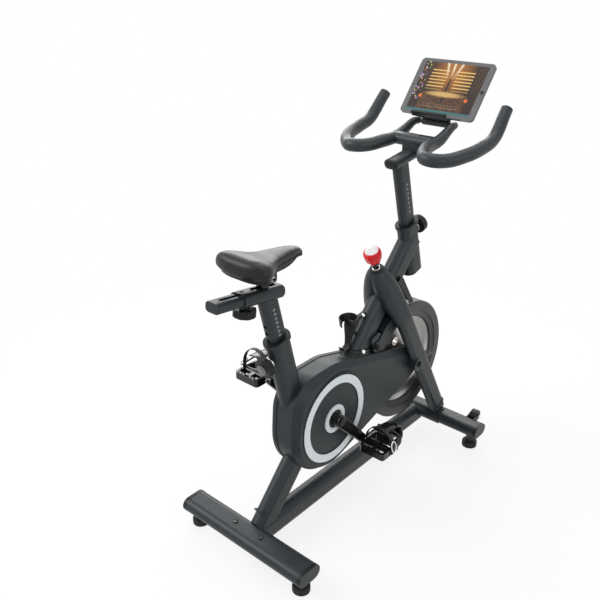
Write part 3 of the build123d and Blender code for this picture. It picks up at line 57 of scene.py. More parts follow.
class Wire:
    """The output of a node, which takes part in ordinary sums; each sum adds its own Math node."""

    def __init__(self, finish, socket):
        self.finish = finish
        self.socket = socket

    def math(self, operation, *values):
        return self.finish.node("ShaderNodeMath", {"operation": operation}, dict(enumerate(values)))

    def __add__(self, other):
        return self.math("ADD", self, other)

    def __radd__(self, other):
        return self.math("ADD", other, self)

    def __sub__(self, other):
        return self.math("SUBTRACT", self, other)

    def __rsub__(self, other):
        return self.math("SUBTRACT", other, self)

    def __mul__(self, other):
        return self.math("MULTIPLY", self, other)

    def __rmul__(self, other):
        return self.math("MULTIPLY", other, self)

    def __truediv__(self, other):
        return self.math("DIVIDE", self, other)

    def __rtruediv__(self, other):
        return self.math("DIVIDE", other, self)

    def __abs__(self):
        return self.math("ABSOLUTE", self)

    def sine(self):
        return self.math("SINE", self)

    def root(self):
        return self.math("SQRT", self)

    def most(self, other):
        return self.math("MAXIMUM", self, other)

    def ramp(self, low, high):
        """Runs smoothly from 0 to 1 while this value goes from low to high."""
        return self.finish.node("ShaderNodeMapRange", {"interpolation_type": "SMOOTHSTEP"},
                                {"Value": self, "From Min": low, "From Max": high})


class Finish:
    """One material on a principled shader. node() is the only way in which a node is added."""

    def __init__(self, name, **constants):
        self.material = bpy.data.materials.new(name)
        self.material.use_nodes = True
        self.tree = self.material.node_tree
        self.shader = self.tree.nodes["Principled BSDF"]
        for socket, value in constants.items():
            self.shader.inputs[socket.replace("_", " ")].default_value = value

    def node(self, kind, settings=None, inputs=None, output=0):
        made = self.tree.nodes.new(kind)
        for key, value in (settings or {}).items():
            setattr(made, key, value)
        for key, value in (inputs or {}).items():
            self.feed(made.inputs[key], value)
        return Wire(self, made.outputs[output])

    def feed(self, socket, value):
        if isinstance(value, Wire):
            self.tree.links.new(value.socket, socket)
        elif socket.type == "RGBA" and len(value) == 3:
            socket.default_value = (*value, 1.0)
        else:
            socket.default_value = value

    def place(self, centre=(0, 0, 0), turn=(0, 0, 0), scale=(1, 1, 1)):
        """Object coordinates, moved so that centre is the origin and turned into the piece's directions."""
        where = self.node("ShaderNodeTexCoord", output="Object")
        if any(centre) or any(turn) or scale != (1, 1, 1):
            where = self.node("ShaderNodeMapping", {"vector_type": "TEXTURE"},
                              {"Vector": where, "Location": centre, "Rotation": turn, "Scale": scale})
        return where

    def axes(self, where):
        split = self.node("ShaderNodeSeparateXYZ", None, {"Vector": where}).socket.node
        return [Wire(self, split.outputs[k]) for k in range(3)]

    def noise(self, where, scale, detail=2.0, rough=0.5, seed=0.0):
        return self.node("ShaderNodeTexNoise", {"noise_dimensions": "4D"},
                         {"Vector": where, "Scale": scale, "Detail": detail, "Roughness": rough, "W": seed})

    def cells(self, where, scale, output="Distance"):
        return self.node("ShaderNodeTexVoronoi", None, {"Vector": where, "Scale": scale}, output)

    def mix(self, factor, first, second):
        return self.node("ShaderNodeMix", {"data_type": "RGBA"}, {0: factor, 6: first, 7: second}, 2)

    def bump(self, height, strength, depth):
        return self.node("ShaderNodeBump", None, {"Height": height, "Strength": strength, "Distance": depth})

    def set(self, **inputs):
        for socket, value in inputs.items():
            self.feed(self.shader.inputs[socket.replace("_", " ")], value)


def shade(colour, share):
    """The colour with every part of it multiplied by share."""
    return tuple(part * share for part in colour)


def speckled(name, dark, light, rough, grain, depth, gloss=0.5, coat=0.0, wear=0.02, metal=0.0):
    """A coated or moulded surface: fine grain, a faint mottle in colour and sheen, thin handling marks."""
    f = Finish(name, Specular_IOR_Level=gloss, Coat_Weight=coat, Coat_Roughness=0.12, Metallic=metal)
    at = f.place()
    fine = f.noise(at, grain, 2.0, 0.6)
    broad = f.noise(at, 14, 3.0, 0.55, 2.0)
    cloud = f.noise(at, 70, 2.0, 0.5, 5.0)
    hair = f.noise(f.place(scale=(1.0, 1.0, 0.05)), 260, 1.0, 0.4, 8.0)
    rub = hair.ramp(0.66, 0.74) * broad.ramp(0.45, 0.7)
    mottle = fine * 0.35 + broad * 0.4 + cloud * 0.25
    colour = f.mix(mottle.ramp(0.3, 0.7), dark, light)
    worn = tuple(min(1.0, part * 2.2 + wear) for part in light)
    f.set(Base_Color=f.mix(rub * 0.35, colour, worn),
          Roughness=rough + (broad - 0.5) * 0.12 + (fine - 0.5) * 0.1 - rub * 0.06,
          Normal=f.bump(fine * 0.8 + cloud * 0.2, 0.55, depth))
    return f.material


def brushed(name, colour, rough, pitch, metal=1.0, depth=0.00006, streak=0.12):
    """Turned metal: fine rings about the wheel's axle, a painted highlight sector over painted shade, a
    little colour drift.
    """
    f = Finish(name, Metallic=metal, Specular_IOR_Level=0.5)
    x, y, z = f.axes(f.place(centre=wheel))
    radius = (x * x + z * z).root()
    rings = f.noise(f.node("ShaderNodeCombineXYZ", None, {0: radius}), pitch, 3.0, 0.7)
    drift = f.noise(f.place(), 9.0, 2.0, 0.5, 3.0)
    # Painted highlight and painted shade: full colour along a line through the axle that leans up toward the
    # rear, 0.42 of it across that line; with little metal, mostly the lit colour
    sector = (x * -0.55 + z * 0.84) / (radius + 0.002)
    sheen = abs(sector).ramp(0.35, 1.0)
    highlight_tone = f.mix(rings * 0.6 + drift * 0.4, shade(colour, 1 - streak * 1.6), colour)
    f.set(Base_Color=f.mix(sheen * (0.5 + 0.5 * metal) + (1.0 - metal), shade(colour, 0.42), highlight_tone),
          Roughness=rough + (rings - 0.5) * 0.22 + (drift - 0.5) * 0.06,
          Normal=f.bump(rings, 0.6, depth))
    return f.material


def middle(node):
    """The centre of a solid's box."""
    low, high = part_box(node)
    return (low + high) / 2


wheel = middle("flywheel_rim")
crank = middle("drive_pulley")

# Name, darker and lighter colour, roughness, grain per metre, depth of the grain, sheen, clear coat, wear.
paint = speckled("charcoal_powder_coat", (0.0175, 0.0225, 0.0255), (0.025, 0.0305, 0.034), 0.4, 1500, 0.0001,
                 0.3)
moulded = speckled("guard_moulding", (0.019, 0.024, 0.0265), (0.025, 0.0305, 0.0335), 0.44, 2100, 0.00007,
                   0.26)
black = speckled("black_moulding", (0.0055, 0.0062, 0.0068), (0.01, 0.0108, 0.0115), 0.4, 1900, 0.00006, 0.24)
gloss = speckled("gloss_black", (0.003, 0.003, 0.0035), (0.006, 0.006, 0.0065), 0.2, 900, 0.00003, 0.35, 0.15)
red = speckled("red_gloss", (0.62, 0.006, 0.012), (0.72, 0.01, 0.018), 0.3, 700, 0.00003, 0.25, 0.08, 0.0)
rubber = speckled("matt_rubber", (0.016, 0.018, 0.019), (0.025, 0.027, 0.028), 0.66, 1300, 0.00012, 0.25)
foam = speckled("bar_rubber", (0.02, 0.0245, 0.028), (0.0285, 0.0335, 0.037), 0.44, 1700, 0.00009, 0.34)
ring_paint = speckled("silver_ring", (0.76, 0.82, 0.83), (0.86, 0.91, 0.92), 0.34, 1200, 0.00003, 0.5, 0.1,
                      0.0)
tablet_shell = speckled("tablet_grey", (0.085, 0.086, 0.09), (0.115, 0.116, 0.12), 0.34, 1600, 0.00003, 0.5,
                        0.05, 0.03)
plate = speckled("zinc_plate", (0.5, 0.5, 0.48), (0.66, 0.66, 0.64), 0.3, 1000, 0.00003, wear=0.03, metal=1.0)
bright = speckled("chrome_plate", (0.74, 0.75, 0.76), (0.82, 0.83, 0.84), 0.13, 600, 0.00001, wear=0.03,
                  metal=1.0)
marks = speckled("printed_grey", (0.46, 0.47, 0.48), (0.6, 0.61, 0.62), 0.5, 900, 0.00002, 0.3, 0.0, 0.0)
satin = speckled("satin_cap", (0.1, 0.1, 0.105), (0.16, 0.16, 0.165), 0.38, 900, 0.00004, 0.5, 0.1, 0.0)
white = speckled("white_inlay", (0.74, 0.73, 0.72), (0.82, 0.81, 0.8), 0.34, 900, 0.00002, 0.4, 0.1, 0.0)
# The disc and the rim both carry brushed()'s painted highlight and painted shade, which turn with the wheel.
spun = brushed("spun_disc", (0.66, 0.645, 0.62), 0.32, 900)
iron = brushed("wheel_rim_paint", (0.04, 0.042, 0.045), 0.42, 500, 0.25, 0.00003, 0.25)

# The finish of every solid that stays as it was drawn: by its slot, or by its own name where it differs.
by_slot = {
    "frame_paint": paint, "guard_plastic": moulded, "ring_grey": ring_paint, "black_plastic": black,
    "gloss_black": gloss, "red_plastic": red, "steel": plate, "chrome": bright, "iron": iron,
    "silver_disc": spun, "rubber": foam, "saddle_cover": foam, "tablet_grey": tablet_shell,
    "screen_glass": gloss, "alloy_black": gloss,
}
by_name = {"rod_guide": paint, "cradle": moulded, "saddle_clamp": gloss, "saddle_rails": gloss,
           "brake_rod": gloss}
for part in frame["record"]["subparts"]:
    solid = nodes[part["node"]]
    solid.data.materials.clear()
    solid.data.materials.append(by_name.get(part["node"], by_slot[part["material_slot"]]))


# ---------- modelling by hand, in edit mode

def rest():
    """Leaves edit mode with nothing selected, so that the next operator touches only what it is given."""
    if bpy.context.object and bpy.context.object.mode != "OBJECT":
        bpy.ops.object.mode_set(mode="OBJECT")
    bpy.ops.object.select_all(action="DESELECT")


def hold(piece, mode="OBJECT"):
    """Makes this piece the only one selected, and the active one."""
    rest()
    piece.select_set(True)
    bpy.context.view_layer.objects.active = piece
    bpy.ops.object.mode_set(mode=mode)


def begin(add, name, **where):
    """Adds a primitive and goes into edit mode on it."""
    rest()
    add(**where)
    piece = bpy.context.object
    piece.name = piece.data.name = name
    bpy.ops.object.mode_set(mode="EDIT")
    return piece


def select_all():
    bpy.ops.mesh.select_all(action="SELECT")


def pull(*step):
    """Extrudes what is picked by a step."""
    bpy.ops.mesh.extrude_region_move(TRANSFORM_OT_translate={"value": step})


def first_point(name, at):
    """Begins a piece as one picked vertex at a place, ready to be drawn out."""
    piece = begin(bpy.ops.mesh.primitive_plane_add, name, size=0.01)
    bpy.ops.mesh.select_mode(type="VERT")
    select_all()
    bpy.ops.mesh.merge(type="CENTER")
    bpy.ops.transform.translate(value=at)
    return piece


def close_up(gap=1e-6):
    """Joins doubled vertices and turns every face outward."""
    select_all()
    bpy.ops.mesh.remove_doubles(threshold=gap)
    bpy.ops.mesh.normals_make_consistent(inside=False)


def pick(piece, test, kind="FACE"):
    """Selects the faces or vertices whose centre and normal pass the test."""
    bpy.ops.mesh.select_mode(type=kind)
    bpy.ops.mesh.select_all(action="DESELECT")
    bpy.ops.object.mode_set(mode="OBJECT")
    if kind == "FACE":
        for face in piece.data.polygons:
            face.select = bool(test(face.center, face.normal))
    else:
        for vertex in piece.data.vertices:
            vertex.select = bool(test(vertex.co, vertex.normal))
    bpy.ops.object.mode_set(mode="EDIT")


def apply(piece, kind, **values):
    """Adds one modifier with these values and applies it."""
    modifier = piece.modifiers.new(kind.lower(), kind)
    for key, value in values.items():
        setattr(modifier, key, value)
    bpy.ops.object.modifier_apply(modifier=modifier.name)


def finish_piece(piece, finish, body, spot=None, modifiers=(), smooth=35):
    """Applies the modifiers, moves the mesh to its place, gives it its finish and hangs it on its body."""
    hold(piece)
    for kind, values in modifiers:
        apply(piece, kind, **values)
    if smooth:
        bpy.ops.object.shade_smooth_by_angle(angle=math.radians(smooth))
    if spot is not None:
        piece.matrix_world = spot
    bpy.ops.object.transform_apply(location=True, rotation=True, scale=True)
    piece.data.materials.clear()
    piece.data.materials.append(finish)
    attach(piece, body)
    piece.select_set(False)
    return piece


def copy_to(piece, name, spot, body):
    """Another of the same piece, with its own mesh, moved by spot from where the first one was made."""
    twin = piece.copy()
    twin.data = piece.data.copy()
    twin.name = twin.data.name = name
    scene.collection.objects.link(twin)
    twin.parent = None
    twin.matrix_world = Matrix.Identity(4)
    twin.data.transform(spot)
    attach(twin, body)


def stand(origin, up, ahead=(1, 0, 0)):
    """A place for a piece: its own Z runs along up, its own X as near to ahead as that allows."""
    z = Vector(up).normalized()
    x = Vector(ahead)
    x = (x - z * x.dot(z)).normalized()
    y = z.cross(x)
    return Matrix.Translation(Vector(origin)) @ Matrix((x, y, z)).transposed().to_4x4()


# ---------- helpers for this bike's small parts

def turned(name, profile, finish, spot=None, body="frame", straight=0.0, steps=40, smooth=35, shear=0.0):
    """Spins a chain of (radius, height) points about Z; a straight run makes the round an oval."""
    chain = [(radius / 1000, 0, height / 1000) for radius, height in profile]
    piece = first_point(name, chain[0])
    for a, b in zip(chain, chain[1:]):
        pull(b[0] - a[0], 0, b[2] - a[2])
    select_all()
    bpy.ops.mesh.spin(steps=steps, angle=math.tau, center=(0, 0, 0), axis=(0, 0, 1))
    close_up()
    if straight:
        for way_out in (1, -1):
            pick(piece, lambda at, normal: at.x * way_out > 1e-5, "VERT")
            bpy.ops.transform.translate(value=(way_out * straight / 2, 0, 0))
    rest()
    if shear:
        piece.data.transform(Matrix(((1, 0, shear, 0), (0, 1, 0, 0), (0, 0, 1, 0), (0, 0, 0, 1))))
    return finish_piece(piece, finish, body, spot, smooth=smooth)


def hex_bolt(name, across, high, finish, spot, body="frame"):
    """Hexagon head on a thin washer, its top edge broken and a shallow dish in the middle."""
    washer = 0.001
    piece = begin(bpy.ops.mesh.primitive_cylinder_add, name, vertices=6, radius=across * 0.577, depth=high,
                  location=(0, 0, high / 2 + washer))
    pick(piece, lambda at, normal: normal.z > 0.9)
    bpy.ops.mesh.inset(thickness=across * 0.1)
    bpy.ops.transform.translate(value=(0, 0, high * 0.16))
    bpy.ops.mesh.inset(thickness=across * 0.12)
    bpy.ops.transform.translate(value=(0, 0, -high * 0.14))
    pick(piece, lambda at, normal: normal.z < -0.9)
    bpy.ops.mesh.inset(thickness=0.0002)
    pull(0, 0, -washer)
    bpy.ops.transform.resize(value=(1.28, 1.28, 1.0))
    return finish_piece(piece, finish, body, spot, (("BEVEL", {"width": 0.0003, "segments": 2}),))


def block(name, size, finish, spot, soften, segments=3):
    """A solid on the frame with broken edges."""
    piece = begin(bpy.ops.mesh.primitive_cube_add, name, size=1.0)
    bpy.ops.transform.resize(value=size)
    return finish_piece(piece, finish, "frame", spot, (("BEVEL", {"width": soften, "segments": segments}),))


def strip(name, section, path, finish, body, thick, spot=None, open_at=None):
    """A band: a section of (across, high) points drawn along a path of (ahead, high, share of width)."""
    section = [(across / 1000, high / 1000) for across, high in section]
    path = [(ahead / 1000, high / 1000, wide) for ahead, high, wide in path]
    ahead, high, wide = path[0]
    piece = first_point(name, (ahead, section[0][0] * wide, high + section[0][1]))
    for a, b in zip(section, section[1:]):
        pull(0, (b[0] - a[0]) * wide, b[1] - a[1])
    select_all()
    for a, b in zip(path, path[1:]):
        pull(b[0] - a[0], 0, b[1] - a[1])
        bpy.ops.transform.resize(value=(1, b[2] / a[2], 1))
    close_up()
    if open_at:
        pick(piece, lambda at, normal: open_at(at))
        bpy.ops.mesh.inset(thickness=0.003)
        bpy.ops.mesh.delete(type="FACE")
    return finish_piece(piece, finish, body, spot, (("SOLIDIFY", {"thickness": thick, "offset": 0.0}),
                                                    ("BEVEL", {"width": 0.0006, "segments": 2}),
                                                    ("SUBSURF", {"levels": 1,
                                                                 "render_levels": 1})), smooth=60)


def bent(name, origin, points, finish=None, body=None, starts=None, detail=10, closed=False):
    """A round bar along a curve of (x, y, z, radius) points; without a finish it stays in edit mode."""
    rest()
    curve = bpy.data.curves.new(name, "CURVE")
    curve.dimensions = "3D"
    curve.resolution_u = detail
    curve.bevel_depth = 1.0
    curve.bevel_resolution = 6
    curve.use_fill_caps = not closed
    spline = curve.splines.new("BEZIER")
    spline.bezier_points.add(len(points) - 1)
    spline.use_cyclic_u = closed
    for knot, (x, y, z, radius) in zip(spline.bezier_points, points):
        knot.co = Vector(origin) + Vector((x, y, z)) / 1000
        knot.radius = radius / 1000
        knot.handle_left_type = knot.handle_right_type = "AUTO"
    if starts:
        knot = spline.bezier_points[0]
        knot.handle_left_type = knot.handle_right_type = "FREE"
        knot.handle_left = knot.co - Vector(starts)
        knot.handle_right = knot.co + Vector(starts)
    piece = bpy.data.objects.new(name, curve)
    scene.collection.objects.link(piece)
    hold(piece)
    bpy.ops.object.convert(target="MESH")
    piece = bpy.context.object
    piece.name = piece.data.name = name
    bpy.ops.object.mode_set(mode="EDIT")
    close_up()
    return finish_piece(piece, finish, body, smooth=50) if finish else piece


# ---------- places read off the frame

cx, cz = crank.x, crank.z
wx, wz = wheel.x, wheel.z
left = Vector((0, 1, 0))


def way(degrees):
    """A direction in the bike's middle plane, so many degrees above straight ahead."""
    return Vector((math.cos(math.radians(degrees)), 0, math.sin(math.radians(degrees))))


def quarter(along):
    """The direction a quarter turn above another in the middle plane."""
    return Vector((-along.z, 0, along.x))


def by_crank(x, y, z):
    """A place so far ahead of the crank's axle, left of the middle plane and above the floor."""
    return Vector((cx + x, y, z))


seat_down = way(-75.4)
seat_rear = -quarter(seat_down)
seat_mouth = by_crank(-0.174, 0, 0.6295)
head_down = way(-74.5)
head_ahead = quarter(head_down)
head_mouth = by_crank(0.397, 0, 0.79)
slide = way(-7)
slide_up = quarter(slide)
slider = by_crank(-0.222, 0, 0.771)
knob_up = Vector((-0.404, 0, 0.915)).normalized()
knob_foot = by_crank(0.253, 0, 0.685)
crank_long, crank_lean, pedal_out = 0.17, -46.6, 0.135
pedals = {side: Vector((cx, s * pedal_out, cz)) - way(crank_lean) * crank_long * s for side, s in SIDES}
tablet_lean = 51
tablet_up = way(tablet_lean)
tablet_out = quarter(tablet_up)
tablet_mid = by_crank(0.566, 0, 1.158)
tablet_foot = tablet_mid - tablet_up * 0.092


# ---------- saddle: firm foam swollen under its vinyl

saddle_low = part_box("saddle_pad")[0]


def droop(back):
    """How far the cover's lower edge rises toward the tail, at so far ahead of it."""
    return (93.5 - back) * 0.055


def saddle_skin():
    """The foam before it swells: rounded rings set along the saddle, closed at tail and nose."""
    rings = ((-3, 30, 14, 16), (1, 55, 24, 26), (9, 77, 30, 33), (22, 86, 33.5, 36.5), (38, 84, 31.5, 36),
             (55, 74, 28, 32), (72, 61, 24, 27), (88, 51.5, 22, 24), (108, 43.5, 21, 22.2),
             (130, 38.5, 21.5, 22.2), (153, 32, 22.5, 22.5), (176, 26.5, 22.5, 22.2), (198, 21, 20, 19.6),
             (214, 16, 16.5, 16), (224.5, 9.5, 11, 10.5))
    turns = 30
    square = 0.62  # below 1 the rings are fuller than ellipses
    tail = saddle_low + Vector((0, -saddle_low.y, 0.0005))
    corners, faces = [], []
    for back, half, spine, shoulder in rings:
        tuck = 2.5 + max(0.0, droop(back)) + 4.0 * max(0.0, 1.0 - back / 120)
        for k in range(turns):
            c, s = math.cos(math.tau * k / turns), math.sin(math.tau * k / turns)
            across = half * math.copysign(abs(c) ** square, c)
            if s >= 0:
                share = min(1.0, abs(across) / half / square)
                rise = (spine + (shoulder - spine) * share) * abs(s) ** square
            else:
                rise = -tuck * abs(s) ** 0.5
                across *= 1.0 - 0.1 * abs(s)
            corners.append(tail + Vector((back, across, rise + droop(back))) / 1000)
    for r in range(len(rings) - 1):
        for k in range(turns):
            a, b = r * turns + k, r * turns + (k + 1) % turns
            faces.append((a, b, b + turns, a + turns))
    faces.append(tuple(range(turns))[::-1])
    faces.append(tuple(range((len(rings) - 1) * turns, len(rings) * turns)))
    mesh = bpy.data.meshes.new("saddle_cover")
    mesh.from_pydata(corners, [], faces)
    piece = bpy.data.objects.new("saddle_cover", mesh)
    scene.collection.objects.link(piece)
    return piece


def swell(piece, voxel, pressure, cap):
    """Remeshes the form, blows it up as cloth over its glued base, caps the movement and keeps the result."""
    hold(piece, "EDIT")
    close_up(1e-7)
    bpy.ops.object.mode_set(mode="OBJECT")
    apply(piece, "REMESH", mode="VOXEL", voxel_size=voxel)
    apply(piece, "SMOOTH", factor=0.5, iterations=4)
    glued = piece.vertex_groups.new(name="glued")
    glued.add([v.index for v in piece.data.vertices if v.normal.z < -0.5], 1.0, "REPLACE")
    start = [v.co.copy() for v in piece.data.vertices]
    cloth = piece.modifiers.new("cloth", "CLOTH")
    cloth.settings.quality = 6
    cloth.settings.mass = 0.3
    cloth.settings.tension_stiffness = cloth.settings.compression_stiffness = 25
    cloth.settings.bending_stiffness = 8.0
    cloth.settings.use_pressure = True
    cloth.settings.uniform_pressure_force = pressure
    cloth.settings.effector_weights.gravity = 0.0
    cloth.settings.vertex_group_mass = "glued"
    for frame_number in range(1, 17):
        scene.frame_set(frame_number)
    bpy.ops.object.modifier_apply(modifier="cloth")
    scene.frame_set(1)
    for vertex, before in zip(piece.data.vertices, start):
        move = vertex.co - before
        if move.length > cap:
            vertex.co = before + move * (cap / move.length)
    piece.vertex_groups.clear()
    apply(piece, "SMOOTH", factor=0.5, iterations=10)
    apply(piece, "SUBSURF", levels=1, render_levels=1)
    bpy.ops.object.shade_smooth()


def vinyl():
    """Smooth black vinyl: fine pores, soft wear on the crown, a low even sheen."""
    f = Finish("saddle_vinyl", Specular_IOR_Level=0.24)
    at = f.place()
    pores = f.cells(at, 1400)
    broad = f.noise(at, 16, 3.0, 0.5, 1.0)
    fine = f.noise(at, 500, 2.0, 0.6, 4.0)
    rub = broad.ramp(0.48, 0.72)
    f.set(Base_Color=f.mix(rub * 0.6 + fine * 0.2, (0.0105, 0.0125, 0.0135), (0.0175, 0.02, 0.0212)),
          Roughness=0.38 + (broad - 0.5) * 0.14 + (fine - 0.5) * 0.06,
          Normal=f.bump(pores.ramp(0.1, 0.55) * 0.7 + fine * 0.3, 0.35, 0.00006))
    return f.material


def saddle_welt():
    """The piping round the cover's lower edge: half of the outline, and its mirror image."""
    half = [(-0.5, 0), (3, 46), (12, 71.5), (28, 79.5), (45, 74.5), (75, 54.5), (110, 40.5), (155, 29),
            (198, 18), (218, 8.5), (222.5, 0)]
    loop = half + [(back, -across) for back, across in half[-2:0:-1]]
    bent("saddle_welt", (saddle_low.x, 0, saddle_low.z - 0.0003),
         [(back, across, droop(back), 1.7) for back, across in loop],
         black, "saddle", closed=True, detail=6)


cover = saddle_skin()
swell(cover, voxel=0.0042, pressure=3.0, cap=0.0035)
cover.data.materials.append(vinyl())
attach(cover, "saddle")
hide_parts("saddle_pad")
saddle_welt()
for side, s in SIDES:
    hex_bolt("saddle_nut_" + side, 0.012, 0.006, plate,
             stand(slider + slide_up * 0.045 + left * s * 0.0305, left * s), "saddle")


# ---------- seat slider, height posts and their knobs

turned("slider_knob_cap", [(0, 3.5), (10, 3.2), (17, 1.8), (19.5, -0.2), (19.5, -1)], gloss,
       stand(slider - slide * 0.058 - slide_up * 0.0457, -slide_up), "slider_clamp_knob")
turned("slider_washer", [(4.5, 0), (13.5, 0), (14.5, 0.6), (13.8, 1.6), (7.5, 2), (4.5, 2), (4.5, 0)], black,
       stand(slider - slide * 0.07 + slide_up * 0.017, slide_up), "seat_mast")


def scale_marks(name, origin, step, body):
    """Printed height marks: a row of small T shapes, a hair thicker than the paint."""
    piece = begin(bpy.ops.mesh.primitive_plane_add, name, size=1.0)
    bpy.ops.transform.resize(value=(0.0017, 0.0085, 1))
    bpy.ops.mesh.duplicate_move(TRANSFORM_OT_translate={"value": (0.0034, 0, 0)})
    bpy.ops.transform.resize(value=(3.2, 0.2, 1))
    select_all()
    pull(0, 0, 0.00025)
    finish_piece(piece, marks, body, stand(origin, -left, step),
                 (("ARRAY", {"count": 7, "use_relative_offset": False, "use_constant_offset": True,
                             "constant_offset_displace": (step.length, 0, 0)}),), smooth=0)


post_face = 0.01605
scale_marks("seat_scale", seat_mouth - seat_down * 0.016 - left * post_face, -seat_down * 0.0132, "seat_mast")
scale_marks("head_scale", head_mouth - head_down * 0.04 - left * post_face, -head_down * 0.015, "head_mast")

pin_dome = [(0, 3.2), (7, 3.0), (12.5, 1.9), (15.2, 0.3), (15.5, -1.2), (15, -2.0)]
knob_reach, boss_reach = 0.0732, 0.039
for name, pin, out, swell_by, finish in (("seat", seat_mouth + seat_down * 0.054, seat_rear, 1.0, satin),
                                         ("head", head_mouth + head_down * 0.038, head_ahead, 1.15, gloss)):
    turned(name + "_pin_cap", [(radius * swell_by, height) for radius, height in pin_dome], finish,
           stand(pin + out * knob_reach, out), name + "_plunger")
    turned(name + "_boss_ring",
           [(12.2, 0), (14.2, 0), (14.8, 1), (14.2, 3), (12.2, 3.4), (11.8, 3), (12.2, 0)], plate,
           stand(pin + out * boss_reach, out))


# ---------- looped bars, stem and tablet cradle

def bar_cover(side, s):
    """The rubber cover of one looped bar, thickest where the hands rest, with a plug let into its end."""
    points = ((410, 66, 1033, 17.5), (356, 74, 1029, 18.9), (313, 94, 1023, 19), (287, 122, 1022, 19),
              (308, 161, 1020, 19), (357, 195, 1030, 19), (425, 208, 1042, 18.8), (478, 209, 1056, 18.2),
              (506, 208, 1079, 17.8), (528, 206, 1104, 17.2), (550, 204, 1127, 16.8))
    piece = bent("bar_cover_" + side, (cx, 0, 0), [(x, s * y, z, radius) for x, y, z, radius in points],
                 starts=(-0.018, 0, -0.0025), detail=12)
    end, end_way = by_crank(0.55, s * 0.204, 1.127), Vector((0.66, 0, 0.75))
    pick(piece, lambda at, normal: (at - end).length < 0.004 and abs(normal.dot(end_way)) > 0.8)
    for thickness, depth in ((0.0022, 0.0), (0.0016, -0.0012), (0.0012, 0.001), (0.005, 0.0008)):
        bpy.ops.mesh.inset(thickness=thickness, depth=depth)
    return finish_piece(piece, foam, "head_mast", modifiers=(
        ("BEVEL", {"width": 0.0008, "segments": 2, "limit_method": "ANGLE",
                   "angle_limit": math.radians(50)}),), smooth=50)


for side, s in SIDES:
    grip = bar_cover(side, s)
    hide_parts("grip_" + side)
    hex_bolt("stem_bolt_" + side, 0.009, 0.004, plate, stand(by_crank(0.407, s * 0.0288, 1.008), left * s),
             "head_mast")
turned("cradle_lip", [(0, 58.5), (3, 58), (4.4, 56.2), (4.8, 53), (4.8, -53), (4.4, -56.2), (3, -58),
                      (0, -58.5)], black, stand(tablet_foot + tablet_out * 0.0355 - tablet_up * 0.0118, left,
                                                tablet_out), "tablet_cradle", steps=24)
turned("stem_end_cap", [(0, 3), (6, 2.8), (11.5, 1.2), (13.6, -0.6), (13.6, -2)], black,
       stand(by_crank(0.2993, 0, 0.98404), (-0.99, 0, -0.1405), left), "head_mast", straight=0.018)
for name, side, profile in (("home_button", -1,
                             [(0, 0.3), (3.8, 0.3), (4.9, 0.6), (5.6, 0.7), (6, 0.3), (6.1, 0)]),
                            ("camera_lens", 1, [(0, 0.2), (1.2, 0.3), (1.8, 0.4), (2.1, 0)])):
    turned(name, profile, gloss,
           stand(tablet_mid + left * side * 0.1138 + tablet_out * 0.0001, tablet_out, tablet_up),
           "tablet_body")


